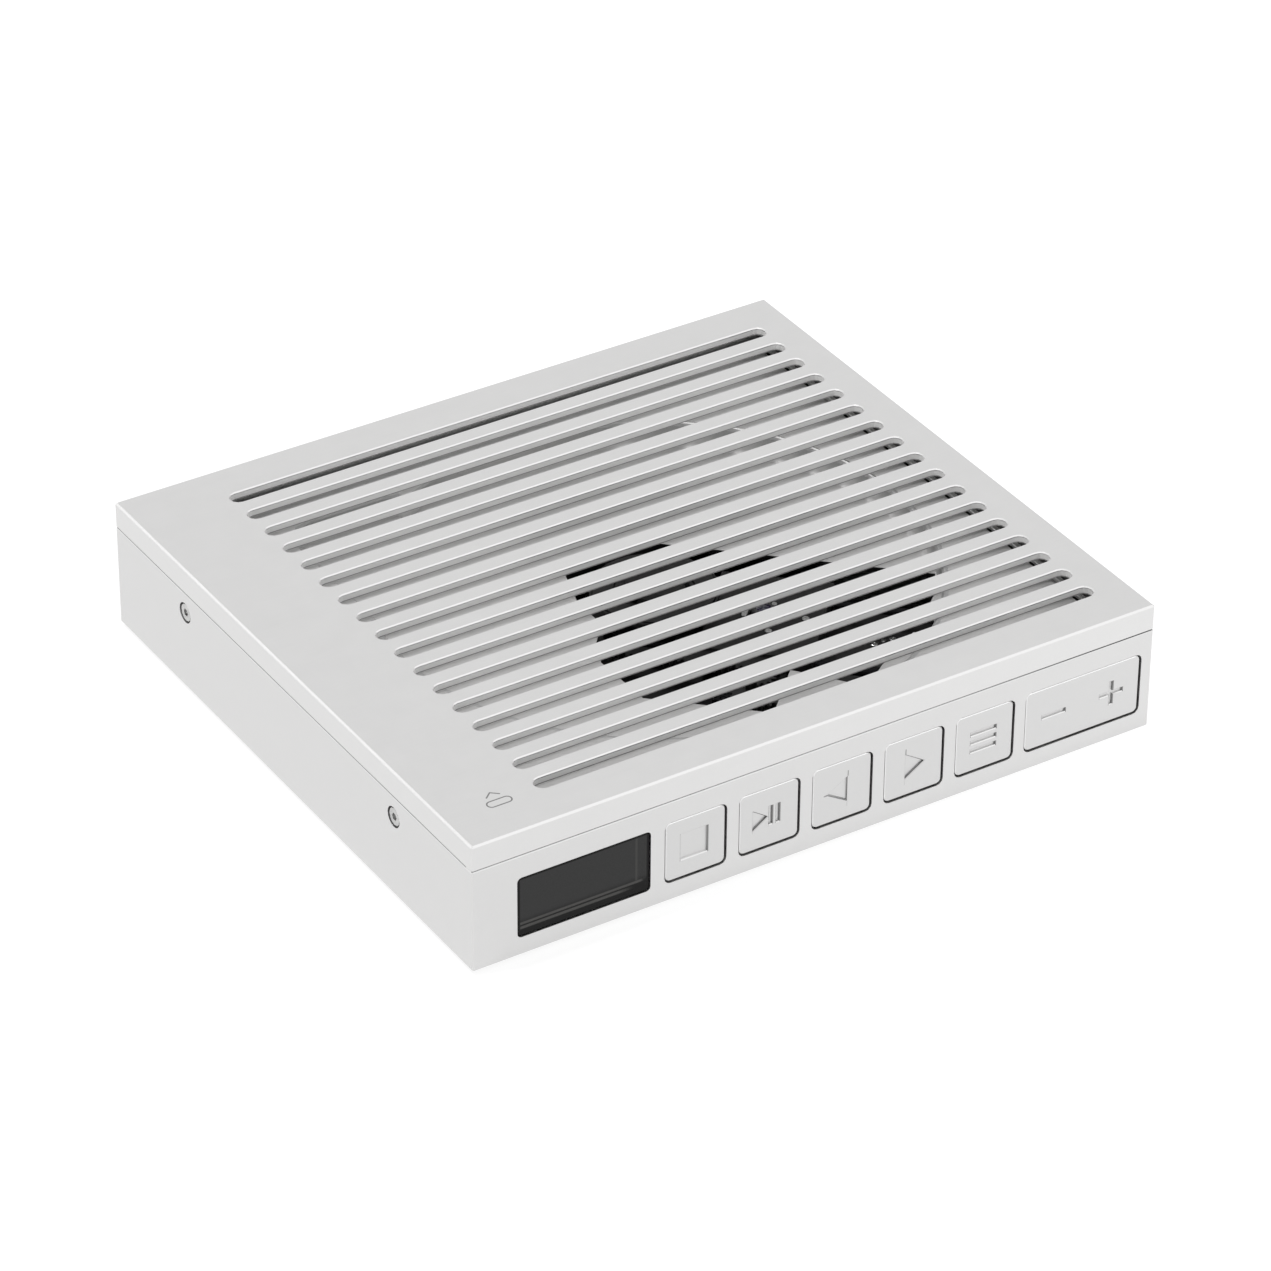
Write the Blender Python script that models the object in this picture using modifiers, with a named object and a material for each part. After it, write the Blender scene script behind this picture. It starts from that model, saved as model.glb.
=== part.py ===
# A slim metal CD player: a milled housing, a slotted lid on a hidden rear hinge, five push buttons,
# a volume rocker, and under the disc well a pickup that a small motor drives along two rails.
# Units are metres, +X runs to the right, +Y to the rear and +Z up. The origin is the middle of the
# footprint, at the underside of the feet. Heights below are counted from there.

import math

import bmesh
import bpy
from mathutils import Matrix, Vector

for old in list(bpy.data.objects):
    bpy.data.objects.remove(old, do_unlink=True)

# Case
body_width = 0.166
body_depth = 0.149
body_height = 0.0305
lid_height = body_height * 0.19279
seam_gap = 0.0003
wall = 0.003
top_chamfer = 0.0004
seam_chamfer = 0.0002
upright_chamfer = 0.0003
seat_gap = 0.0003
bond = 0.0004
overrun = 0.002
weld = 0.000002
sharp_angle = math.radians(35)
round_end_share = 0.98

# Lid
lid_plate = 0.0018
slot_count = 17
slot_width = 0.0038
slot_pitch = body_depth * 0.052483
slot_length = body_width * 0.8229
slot_chamfer = 0.00025

# Hinge hidden in the lid's rear skirt
hinge_reach = body_width * 0.2741
hinge_inset = 0.0016
hinge_rise = lid_height * 0.57823
ear_radius = 0.0013
ear_width = 0.010
hinge_pin_radius = 0.00045
hinge_pin_grip = 0.003
hinge_relief = 0.0006

# Magnets that hold the lid shut
magnet_radius = 0.002
magnet_height = 0.001
magnet_side_inset = 0.020
magnet_wall = 0.0007

# Window and buttons in the front wall, spread over the width
window_margin = body_width * 0.06265
window_width = body_width * 0.18855
window_corner = 0.001
window_recess = 0.0003
keys_margin = body_width * 0.27108
keys_low = body_height * 0.14426
key_width = body_width * 0.08976
key_deck_gap = 0.001
key_pitch = body_width * 0.10699
key_corner = 0.0015
rocker_margin = body_width * 0.80482
rocker_width = body_width * 0.17892
key_gap = 0.0003
key_edge = 0.00015
flange_lip = 0.0008
flange_thickness = 0.0008
rocker_flange_lip = 0.0008
rocker_flange_inset = 0.0015
nub_radius = 0.0015
nub_length = 0.001
key_air = 0.00035
fulcrum_radius = 0.0006
fulcrum_height = 0.012
rocker_switch_reach = rocker_width * 0.303

# Boards and carrier behind the keys
carrier_thickness = 0.0015
carrier_inset = 0.0007
key_board_thickness = 0.0012
switch_size = 0.0036
switch_height = 0.0012
module_border = 0.0009
module_thickness = 0.0024

# Deck with the disc well
disc_x = body_width * 0.04217
disc_y = 0.0006
deck_top_height = body_height * 0.74098
deck_plate_thickness = 0.0015
deck_side_gap = 0.0027
deck_rear_gap = 0.0016
well_radius = min(body_depth * 0.41074, body_width * 0.3687)
well_wall = 0.0012
well_chamfer = 0.0005
well_depth = deck_top_height * 0.24779
well_floor = 0.0012
finger_left = well_radius * 0.96405
finger_right = well_radius * 0.445
finger_rear = well_radius * 0.925
finger_corner = 0.007
lug_width = 0.008
lug_length = 0.003
lug_drop = 0.002

# Side screws
side_screw_reach = body_depth * 0.29396
side_screw_drop = 0.0032
side_recess_radius = 0.0024
side_recess_depth = 0.0015
screw_head_radius = 0.002
screw_head_height = 0.001
screw_shank_radius = 0.0008
screw_hole_air = 0.0003
side_shank_length = 0.0035
socket_radius = 0.0009
socket_depth = 0.0006

# Base
base_thickness = 0.0015
post_size = 0.0065
post_height = 0.012
base_post_inset = 0.0135
base_shank_length = 0.0055
foot_height = 0.0009
foot_radius = 0.005
foot_taper = 0.0004
foot_sink = 0.0006
foot_inset_x = 0.016
foot_inset_y = 0.014

# Main board, battery and sockets
main_board_side_gap = 0.008
main_board_depth = body_depth * 0.27517
main_board_rear_gap = 0.0022
main_board_thickness = 0.0012
board_tab_gap = 0.0012
standoff_height = 0.003
standoff_radius = 0.0022
standoff_inset = 0.006
shield_height = 0.0045
shield_width = 0.034
shield_depth = 0.022
shield_reach = 0.030
battery_width = body_width * 0.24699
battery_depth = body_depth * 0.32215
battery_height = 0.0085
battery_corner = 0.002
battery_side_gap = 0.009
battery_front_gap = 0.017
socket_body_width = 0.0072
socket_body_height = 0.0064
socket_body_length = 0.0135
socket_end_wall = 0.0015
socket_recess = 0.0003
socket_post_gap = 0.00055
socket_pitch = 0.0082
headphone_bore = 0.0018
balanced_bore = 0.0023
socket_collar_wall = 0.0009
usb_pitch = 0.0091
usb_width = 0.0090
usb_height = 0.0033
usb_wall = 0.00032
usb_length = 0.0073
usb_tongue = 0.0007
usb_tongue_set = 0.0006

# Mechanism. Its own frame has +X along the pickup's travel, away from the spindle at its origin. What
# reaches along or across the travel is a share of the well's radius, so that it fits any well
sled_angle = math.radians(-43.0)
opening_reach = well_radius * 0.93791
opening_side = well_radius * 0.63235
chassis_height = deck_top_height * 0.22124
chassis_thickness = 0.0012
chassis_inner = well_radius * 0.27778
chassis_outer = well_radius * 1.20915
chassis_left = well_radius * 0.3268
chassis_right = well_radius * 0.31863
lobe_inner = well_radius * 0.0817
lobe_outer = well_radius * 0.53922
chassis_rim_height = 0.003
chassis_rim_wall = 0.0012
damper_radius = 0.003
damper_waist = 0.0004
mount_post_radius = 0.0012
spindle_motor_radius = 0.011
spindle_motor_height = 0.0055
spindle_radius = 0.001
platter_radius = 0.014
platter_thickness = 0.0012
platter_lift = 0.0006
hub_neck_radius = 0.0035
hub_boss_radius = 0.0074
hub_boss_height = 0.0026
hub_chamfer = 0.0008
mat_inner = 0.0088
mat_outer = 0.0134
mat_thickness = 0.0006
mat_sink = 0.0006
clamp_ball_radius = 0.0013
clamp_ball_proud = 0.0003
clamp_ball_count = 3
lens_rest = well_radius * 0.38399
lens_limit = well_radius * 0.94771
lens_radius = 0.0026
lens_proud = 0.0019
lens_depth = 0.0017
lens_dome_drop = 0.0003
lens_dome_shares = (0.4, 0.62, 0.68)
lens_travel = 0.0004
lens_air = 0.0004
sled_inner = well_radius * 0.18791
sled_outer = well_radius * 0.21242
sled_half_width = well_radius * 0.2451
sled_thickness = deck_top_height * 0.27434
sled_top_gap = 0.0005
main_rail_radius = 0.0012
main_rail_side = well_radius * 0.18791
support_rail_radius = 0.0009
support_rail_side = well_radius * 0.20425
rail_rise = sled_thickness * 0.3871
rail_block_length = 0.0025
rail_block_width = 0.0042
rail_block_rise = 0.0009
rail_stop = 0.0008
rail_inner = well_radius * 0.10621
rack_module = 0.0005
rack_line = well_radius * 0.3268
rack_inner = well_radius * 0.53922
rack_outer = well_radius * 0.11438
rack_thickness = 0.0016
rack_backing = 0.0030
pinion_place = well_radius * 0.44118
small_gear_teeth = 12
large_gear_teeth = 28
motor_pinion_teeth = 8
gear_thickness = 0.0014
gear_rise = sled_thickness * 0.30645
axle_radius = 0.0009
gear_boss_radius = 0.002
tooth_tip_share = 0.22
tooth_root_share = 0.62
addendum = 0.00038
dedendum = 0.0006
train_angle = math.radians(220.0)
sled_motor_radius = 0.006
sled_motor_top_gap = 0.0004
motor_shaft_radius = 0.0005
motor_air = 0.001

# Places worked out from the sizes
top = foot_height + body_height
lid_bottom = top - lid_height
housing_top = lid_bottom - seam_gap
base_top = foot_height + base_thickness
front = -body_depth / 2
rear = body_depth / 2
left = -body_width / 2
right = body_width / 2
inner_front = front + wall
inner_rear = rear - wall
inner_left = left + wall
inner_right = right - wall
magnet_reach = inner_right - magnet_side_inset
base_post_reach = inner_rear - base_post_inset
main_board_width = 2 * (inner_right - main_board_side_gap)
balanced_y = base_post_reach - post_size / 2 - socket_post_gap - socket_body_width / 2
headphone_y = balanced_y - socket_pitch
usb_y = headphone_y - usb_pitch
key_low = foot_height + keys_low
deck_top = foot_height + deck_top_height
magnet_boss_low = deck_top - magnet_height - magnet_wall - 2 * seat_gap
key_height = magnet_boss_low - key_low - key_deck_gap
key_middle = key_low + key_height / 2
window_height = key_height - seat_gap
deck_under = deck_top - deck_plate_thickness
floor_top = deck_top - well_depth
floor_under = floor_top - well_floor
hinge_y = rear - hinge_inset
hinge_z = lid_bottom + hinge_rise
flange_front = inner_front + seat_gap
flange_back = flange_front + flange_thickness
switch_front = flange_back + nub_length + key_air
board_front = switch_front + switch_height
carrier_back = board_front - seat_gap
carrier_front = carrier_back - carrier_thickness
carrier_low = base_top + seat_gap
carrier_hole_radius = switch_size / math.sqrt(2) + seat_gap
carrier_high = magnet_boss_low - seat_gap
board_top = base_top + standoff_height + seat_gap + main_board_thickness
main_board_rear = inner_rear - main_board_rear_gap
main_board_front = main_board_rear - main_board_depth
board_tab_end = inner_right - board_tab_gap
chassis_low = foot_height + chassis_height
chassis_top = chassis_low + chassis_thickness
sled_top = floor_under - sled_top_gap
sled_low = sled_top - sled_thickness
rail_z = sled_low + rail_rise
gear_low = sled_low + gear_rise
platter_low = floor_top + platter_lift
platter_top = platter_low + platter_thickness

player = bpy.data.collections.new("portable_cd_player")
cutters = bpy.data.collections.new("cutters")
bpy.context.scene.collection.children.link(player)
bpy.context.scene.collection.children.link(cutters)


def finish(name, colour, roughness, metallic):
    material = bpy.data.materials.new(name)
    material.use_nodes = True
    shader = material.node_tree.nodes["Principled BSDF"]
    shader.inputs["Base Color"].default_value = (*colour, 1)
    shader.inputs["Roughness"].default_value = roughness
    shader.inputs["Metallic"].default_value = metallic
    material.diffuse_color = (*colour, 1)
    return material


silver = finish("bead_blasted_aluminium", (0.72, 0.72, 0.71), 0.38, 1.0)
pale_silver = finish("brushed_aluminium_lid", (0.70, 0.70, 0.69), 0.34, 1.0)
deck_silver = finish("deck_aluminium", (0.55, 0.55, 0.54), 0.45, 1.0)
steel = finish("polished_steel", (0.62, 0.62, 0.62), 0.22, 1.0)
screw_steel = finish("screw_steel", (0.50, 0.50, 0.50), 0.30, 1.0)
brass = finish("brass", (0.60, 0.46, 0.20), 0.30, 1.0)
magnet_nickel = finish("magnet_nickel", (0.58, 0.57, 0.54), 0.25, 1.0)
black_plastic = finish("black_plastic", (0.018, 0.018, 0.019), 0.50, 0.0)
gear_plastic = finish("dark_gear_plastic", (0.030, 0.030, 0.030), 0.40, 0.0)
black_rubber = finish("black_rubber", (0.022, 0.022, 0.022), 0.85, 0.0)
board_green = finish("circuit_board", (0.02, 0.10, 0.05), 0.45, 0.0)
dark_glass = finish("dark_window", (0.03, 0.03, 0.03), 0.08, 0.0)
module_black = finish("display_module", (0.02, 0.02, 0.025), 0.25, 0.0)
battery_wrap = finish("battery_wrap", (0.10, 0.13, 0.19), 0.45, 0.0)
lens_glass = finish("lens_glass", (0.35, 0.40, 0.45), 0.05, 0.0)


def add(name, mesh, material, place=(0, 0, 0), parent=None):
    """Puts a mesh into the player as a named piece."""
    piece = bpy.data.objects.new(name, mesh)
    mesh.name = name
    mesh.materials.append(material)
    piece.location = place
    piece.parent = parent
    player.objects.link(piece)
    return piece


def add_tool(mesh, place=(0, 0, 0), parent=None):
    """Puts a mesh among the cutters, where it isn't a piece of the player."""
    tool = bpy.data.objects.new("cutter", mesh)
    tool.location = place
    tool.parent = parent
    tool.hide_render = True
    tool.display_type = "WIRE"
    cutters.objects.link(tool)
    return tool


def combine(piece, tool, operation):
    modifier = piece.modifiers.new(operation.lower(), "BOOLEAN")
    modifier.operation = operation
    modifier.solver = "EXACT"
    modifier.object = tool


def cut(piece, mesh, place=(0, 0, 0), parent=None):
    combine(piece, add_tool(mesh, place, parent), "DIFFERENCE")


def join(piece, mesh, place=(0, 0, 0), parent=None):
    combine(piece, add_tool(mesh, place, parent), "UNION")


def box(low, high):
    """A box between two corners, in the frame of the piece that takes it."""
    low = Vector(low)
    high = Vector(high)
    form = bmesh.new()
    bmesh.ops.create_cube(form, size=1)
    bmesh.ops.scale(form, vec=high - low, verts=form.verts)
    bmesh.ops.translate(form, vec=(high + low) / 2, verts=form.verts)
    mesh = bpy.data.meshes.new("box")
    form.to_mesh(mesh)
    form.free()
    return mesh


def chamfered(mesh, chosen, width):
    """Cuts a flat chamfer along the edges whose middle and direction the test chooses."""
    form = bmesh.new()
    form.from_mesh(mesh)
    edges = []
    for edge in form.edges:
        middle = (edge.verts[0].co + edge.verts[1].co) / 2
        direction = (edge.verts[1].co - edge.verts[0].co).normalized()
        if chosen(middle, direction):
            edges.append(edge)
    bmesh.ops.bevel(form, geom=edges, offset=width, segments=1, affect="EDGES", clamp_overlap=True)
    form.to_mesh(mesh)
    form.free()
    return mesh


def rod(radius, low, high, centre=(0, 0), axis="Z", sides=16):
    """A cylinder along one axis. The centre gives the other two coordinates, in X, Y, Z order."""
    form = bmesh.new()
    bmesh.ops.create_cone(
        form,
        cap_ends=True,
        segments=sides,
        radius1=radius,
        radius2=radius,
        depth=high - low,
    )
    bmesh.ops.translate(form, vec=(0, 0, (high + low) / 2), verts=form.verts)
    if axis == "X":
        bmesh.ops.rotate(form, matrix=Matrix.Rotation(math.pi / 2, 3, "Y"), verts=form.verts)
        shift = (0, centre[0], centre[1])
    elif axis == "Y":
        bmesh.ops.rotate(form, matrix=Matrix.Rotation(-math.pi / 2, 3, "X"), verts=form.verts)
        shift = (centre[0], 0, centre[1])
    else:
        shift = (centre[0], centre[1], 0)
    bmesh.ops.translate(form, vec=shift, verts=form.verts)
    mesh = bpy.data.meshes.new("rod")
    form.to_mesh(mesh)
    form.free()
    mesh.shade_smooth()
    mesh.set_sharp_from_angle(angle=sharp_angle)
    return mesh


def settled(holder):
    """The mesh that an object's curve or modifiers give, welded and closed. The object itself goes."""
    bpy.context.scene.collection.objects.link(holder)
    bpy.context.view_layer.update()
    shape = holder.evaluated_get(bpy.context.evaluated_depsgraph_get())
    mesh = bpy.data.meshes.new_from_object(shape)
    bpy.data.objects.remove(holder, do_unlink=True)
    form = bmesh.new()
    form.from_mesh(mesh)
    bmesh.ops.remove_doubles(form, verts=form.verts, dist=weld)
    bmesh.ops.holes_fill(form, edges=form.edges)
    bmesh.ops.recalc_face_normals(form, faces=form.faces)
    form.to_mesh(mesh)
    form.free()
    mesh.shade_smooth()
    mesh.set_sharp_from_angle(angle=sharp_angle)
    return mesh


def slab(outline, low, high, axis="Z"):
    """A flat outline with a thickness along one axis, given in the other two coordinates in order."""
    curve = bpy.data.curves.new("outline", "CURVE")
    curve.dimensions = "2D"
    # The wall alone: settled closes each end with one flat face, so straight runs of points stay clean
    curve.fill_mode = "NONE"
    curve.extrude = (high - low) / 2
    spline = curve.splines.new("POLY")
    spline.points.add(len(outline) - 1)
    for point, (across, along) in zip(spline.points, outline):
        point.co = (across, along, 0, 1)
    spline.use_cyclic_u = True
    mesh = settled(bpy.data.objects.new("outline", curve))
    middle = (high + low) / 2
    if axis == "X":
        mesh.transform(Matrix(((0, 0, 1, middle), (1, 0, 0, 0), (0, 1, 0, 0), (0, 0, 0, 1))))
    elif axis == "Y":
        mesh.transform(Matrix.Translation((0, middle, 0)) @ Matrix.Rotation(math.pi / 2, 4, "X"))
    else:
        mesh.transform(Matrix.Translation((0, 0, middle)))
    return mesh


def turned(profile, sides=32):
    """A profile of (radius, height) points, from the top down its outer side, turned about Z."""
    mesh = bpy.data.meshes.new("profile")
    points = [(radius, 0, height) for radius, height in profile]
    edges = [(index, index + 1) for index in range(len(points) - 1)]
    if profile[0][0] > 0:
        edges.append((len(points) - 1, 0))
    mesh.from_pydata(points, edges, [])
    holder = bpy.data.objects.new("profile", mesh)
    screw = holder.modifiers.new("turn", "SCREW")
    screw.steps = sides
    screw.render_steps = sides
    screw.use_merge_vertices = True
    screw.merge_threshold = weld
    return settled(holder)


def arc(centre, radius, start, end, steps):
    """Points on an arc, ends included. Angles are in radians, counted from the first axis."""
    points = []
    for step in range(steps + 1):
        angle = start + (end - start) * step / steps
        points.append((centre[0] + radius * math.cos(angle), centre[1] + radius * math.sin(angle)))
    return points


def rounded(low, high, radius, steps=3):
    """The outline of a rectangle with round corners."""
    quarter = math.pi / 2
    corners = (
        ((high[0] - radius, high[1] - radius), 0),
        ((low[0] + radius, high[1] - radius), 1),
        ((low[0] + radius, low[1] + radius), 2),
        ((high[0] - radius, low[1] + radius), 3),
    )
    outline = []
    for centre, turn in corners:
        outline += arc(centre, radius, turn * quarter, (turn + 1) * quarter, steps)
    return outline


def loft(levels):
    """A closed body through outlines with equal numbers of points, given with their heights, lowest first."""
    form = bmesh.new()
    rings = []
    for height, outline in levels:
        rings.append([form.verts.new((x, y, height)) for x, y in outline])
    count = len(rings[0])
    for lower, upper in zip(rings, rings[1:]):
        for index in range(count):
            after = (index + 1) % count
            form.faces.new((lower[index], lower[after], upper[after], upper[index]))
    form.faces.new(list(reversed(rings[0])))
    form.faces.new(rings[-1])
    mesh = bpy.data.meshes.new("loft")
    form.to_mesh(mesh)
    form.free()
    mesh.shade_smooth()
    mesh.set_sharp_from_angle(angle=sharp_angle)
    return mesh


def pocket_tool(outline_at):
    """A pocket in the deck, from the well's floor up, that widens at the deck's top into a chamfer."""
    return loft(
        (
            (floor_top, outline_at(0)),
            (deck_top - well_chamfer, outline_at(0)),
            (deck_top + overrun, outline_at(well_chamfer + overrun)),
        )
    )


def grown(low, high, by):
    """Two corners of a rectangle moved out on every side."""
    return (low[0] - by, low[1] - by), (high[0] + by, high[1] + by)


def gear_outline(teeth, turn=0.0):
    """Straight-sided teeth round a pitch circle. The turn is the angle of the first tooth's middle."""
    pitch_radius = rack_module * teeth / 2
    pitch_angle = math.tau / teeth
    outline = []
    for tooth in range(teeth):
        middle = turn + tooth * pitch_angle
        for radius, share in (
            (pitch_radius - dedendum, -tooth_root_share),
            (pitch_radius + addendum, -tooth_tip_share),
            (pitch_radius + addendum, tooth_tip_share),
            (pitch_radius - dedendum, tooth_root_share),
        ):
            # The share is of the pitch, measured along the pitch circle and halved to either side
            angle = middle + share * pitch_angle / 2
            outline.append((radius * math.cos(angle), radius * math.sin(angle)))
    return outline


# Front wall openings, as the low and high corners in X and Z
window_low = (left + window_margin, key_low)
window_high = (window_low[0] + window_width, key_low + window_height)
key_names = ("stop_button", "play_pause_button", "back_button", "forward_button", "menu_button")
key_boxes = []
for number in range(len(key_names)):
    key_left = left + keys_margin + number * key_pitch
    key_boxes.append(((key_left, key_low), (key_left + key_width, key_low + key_height)))
rocker_low = (left + rocker_margin, key_low)
rocker_high = (rocker_low[0] + rocker_width, key_low + key_height)
rocker_middle = (rocker_low[0] + rocker_high[0]) / 2
switch_places = [(low[0] + high[0]) / 2 for low, high in key_boxes]
switch_places += [rocker_middle - rocker_switch_reach, rocker_middle + rocker_switch_reach]

side_screw_z = deck_top - side_screw_drop
lug_tip = inner_right - seat_gap
lug_root = inner_right - deck_side_gap - lug_length
base_screw_x = inner_right - post_size / 2
socket_z = board_top + socket_body_height / 2
usb_z = board_top + usb_height / 2 + seat_gap
magnet_y = inner_front + magnet_radius + magnet_wall + 2 * seat_gap


def make_housing():
    """Four milled walls with the window and key openings, corner posts and the two hinge ears."""
    outer = box((left, front, foot_height), (right, rear, housing_top))
    chamfered(outer, lambda middle, way: abs(way.z) > 0.9, upright_chamfer)
    chamfered(outer, lambda middle, way: abs(way.z) < 0.9 and middle.z > top / 2, seam_chamfer)
    chamfered(outer, lambda middle, way: abs(way.z) < 0.9 and middle.z < top / 2, top_chamfer)
    housing = add("housing_shell", outer, silver)
    cut(
        housing,
        box(
            (inner_left, inner_front, foot_height - overrun),
            (inner_right, inner_rear, housing_top + overrun),
        ),
    )
    low, high = window_low, window_high
    cut(housing, slab(rounded(low, high, window_corner), front - overrun, flange_back + bond, "Y"))
    for low, high in key_boxes + [(rocker_low, rocker_high)]:
        cut(housing, slab(rounded(low, high, key_corner), front - overrun, flange_back + bond, "Y"))
    for side_x in (-1, 1):
        for side_y in (-1, 1):
            x = side_x * base_screw_x
            y = side_y * base_post_reach
            reach = post_size / 2
            outer_x = side_x * (inner_right + bond)
            inner_x = x - side_x * reach
            join(
                housing,
                box(
                    (min(outer_x, inner_x), y - reach, base_top + seat_gap),
                    (max(outer_x, inner_x), y + reach, base_top + post_height),
                ),
            )
            hole = screw_shank_radius + screw_hole_air
            cut(housing, rod(hole, foot_height, base_top + base_shank_length + seat_gap, (x, y), sides=12))
    for side_y in (-1, 1):
        centre = (side_y * side_screw_reach, side_screw_z)
        left_end = left + side_recess_depth
        right_end = right - side_recess_depth
        cut(housing, rod(side_recess_radius, left - overrun, left_end, centre, "X"))
        cut(housing, rod(side_recess_radius, right_end, right + overrun, centre, "X"))
        hole = screw_shank_radius + screw_hole_air
        cut(housing, rod(hole, left - overrun, right + overrun, centre, "X", 12))
    for y, bore in ((headphone_y, headphone_bore), (balanced_y, balanced_bore)):
        hole = bore + socket_collar_wall + seat_gap
        cut(housing, rod(hole, inner_right - bond, right + overrun, (y, socket_z), "X"))
    cut(housing, usb_prism(seat_gap, inner_right - bond, right + overrun))
    for side_x in (-1, 1):
        x = side_x * hinge_reach
        ear = arc((hinge_y, hinge_z), ear_radius, 0, math.pi, 10)
        ear += [(hinge_y - ear_radius, housing_top - bond), (hinge_y + ear_radius, housing_top - bond)]
        join(housing, slab(ear, x - ear_width / 2, x + ear_width / 2, "X"))
        cut(
            housing,
            rod(
                hinge_pin_radius + seat_gap,
                x - ear_width / 2 - overrun,
                x + ear_width / 2 + overrun,
                (hinge_y, hinge_z),
                "X",
                12,
            ),
        )


def usb_prism(growth, low, high):
    """The oval of the charging socket, larger on every side by the growth, along X."""
    half_width = usb_width / 2 + growth
    half_height = usb_height / 2 + growth
    corner_low = (usb_y - half_width, usb_z - half_height)
    corner_high = (usb_y + half_width, usb_z + half_height)
    return slab(rounded(corner_low, corner_high, half_height * round_end_share, 5), low, high, "X")


def slot_tool():
    """One lid slot: a round-ended outline that widens at the top into the chamfer."""
    half = slot_length / 2 - slot_width / 2

    def ring(growth):
        radius = slot_width / 2 + growth
        quarter = math.pi / 2
        ends = arc((half, 0), radius, -quarter, quarter, 6)
        return ends + arc((-half, 0), radius, quarter, 3 * quarter, 6)

    return loft(
        (
            (top - lid_plate - overrun, ring(0)),
            (top - slot_chamfer, ring(0)),
            (top + overrun, ring(slot_chamfer + overrun)),
        )
    )


def make_lid():
    """The slotted top plate with its skirt, swinging about the hinge pins' axis."""
    outer = box((left, front, lid_bottom), (right, rear, top))
    chamfered(outer, lambda middle, way: abs(way.z) > 0.9, upright_chamfer)
    chamfered(outer, lambda middle, way: abs(way.z) < 0.9 and middle.z > top - lid_height / 2, top_chamfer)

    def at_hinge(middle, way):
        return abs(way.x) > 0.9 and middle.y > 0 and middle.z < hinge_z

    chamfered(outer, at_hinge, hinge_relief)
    shift = Matrix.Translation((0, -hinge_y, -hinge_z))
    outer.transform(shift)
    lid = add("lid", outer, pale_silver, (0, hinge_y, hinge_z))
    cut(lid, box((inner_left, inner_front, lid_bottom - overrun), (inner_right, inner_rear, top - lid_plate)))
    slots = add_tool(slot_tool(), (disc_x, -slot_pitch * (slot_count - 1) / 2, 0))
    rows = slots.modifiers.new("rows", "ARRAY")
    rows.count = slot_count
    rows.use_relative_offset = False
    rows.use_constant_offset = True
    rows.constant_offset_displace = (0, slot_pitch, 0)
    combine(lid, slots, "DIFFERENCE")
    notch = ear_radius + seat_gap
    for side_x in (-1, 1):
        x = side_x * hinge_reach
        half = ear_width / 2 + seat_gap
        cut(
            lid,
            box(
                (x - half, inner_rear - overrun, lid_bottom - overrun),
                (x + half, rear + overrun, hinge_z + notch),
            ),
        )
        reach = half + hinge_pin_grip + seat_gap
        cut(lid, rod(hinge_pin_radius + seat_gap, x - reach, x + reach, (hinge_y, hinge_z), "X", 12))
        magnet_x = side_x * magnet_reach
        pocket = magnet_radius + seat_gap
        rim_low = top - lid_plate - magnet_height
        join(lid, rod(pocket + magnet_wall, rim_low, top - lid_plate + bond, (magnet_x, magnet_y)))
        cut(lid, rod(pocket, rim_low - overrun, top - lid_plate, (magnet_x, magnet_y)))
        name = "lid_magnet_left" if side_x < 0 else "lid_magnet_right"
        high = top - lid_plate - seat_gap
        mesh = rod(magnet_radius, -magnet_height / 2, magnet_height / 2)
        add(name, mesh, magnet_nickel, (magnet_x, magnet_y, high - magnet_height / 2))


def make_hinge_pins():
    for side_x, side in ((-1, "left"), (1, "right")):
        reach = ear_width / 2 + seat_gap + hinge_pin_grip
        mesh = rod(hinge_pin_radius, -reach, reach, axis="X", sides=12)
        add("hinge_pin_" + side, mesh, steel, (side_x * hinge_reach, hinge_y, hinge_z))


def lug_box(side_x, side_y):
    near = side_x * lug_root
    far = side_x * lug_tip
    y = side_y * side_screw_reach
    return box(
        (min(near, far), y - lug_width / 2, side_screw_z - lug_drop),
        (max(near, far), y + lug_width / 2, deck_under + bond),
    )


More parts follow.
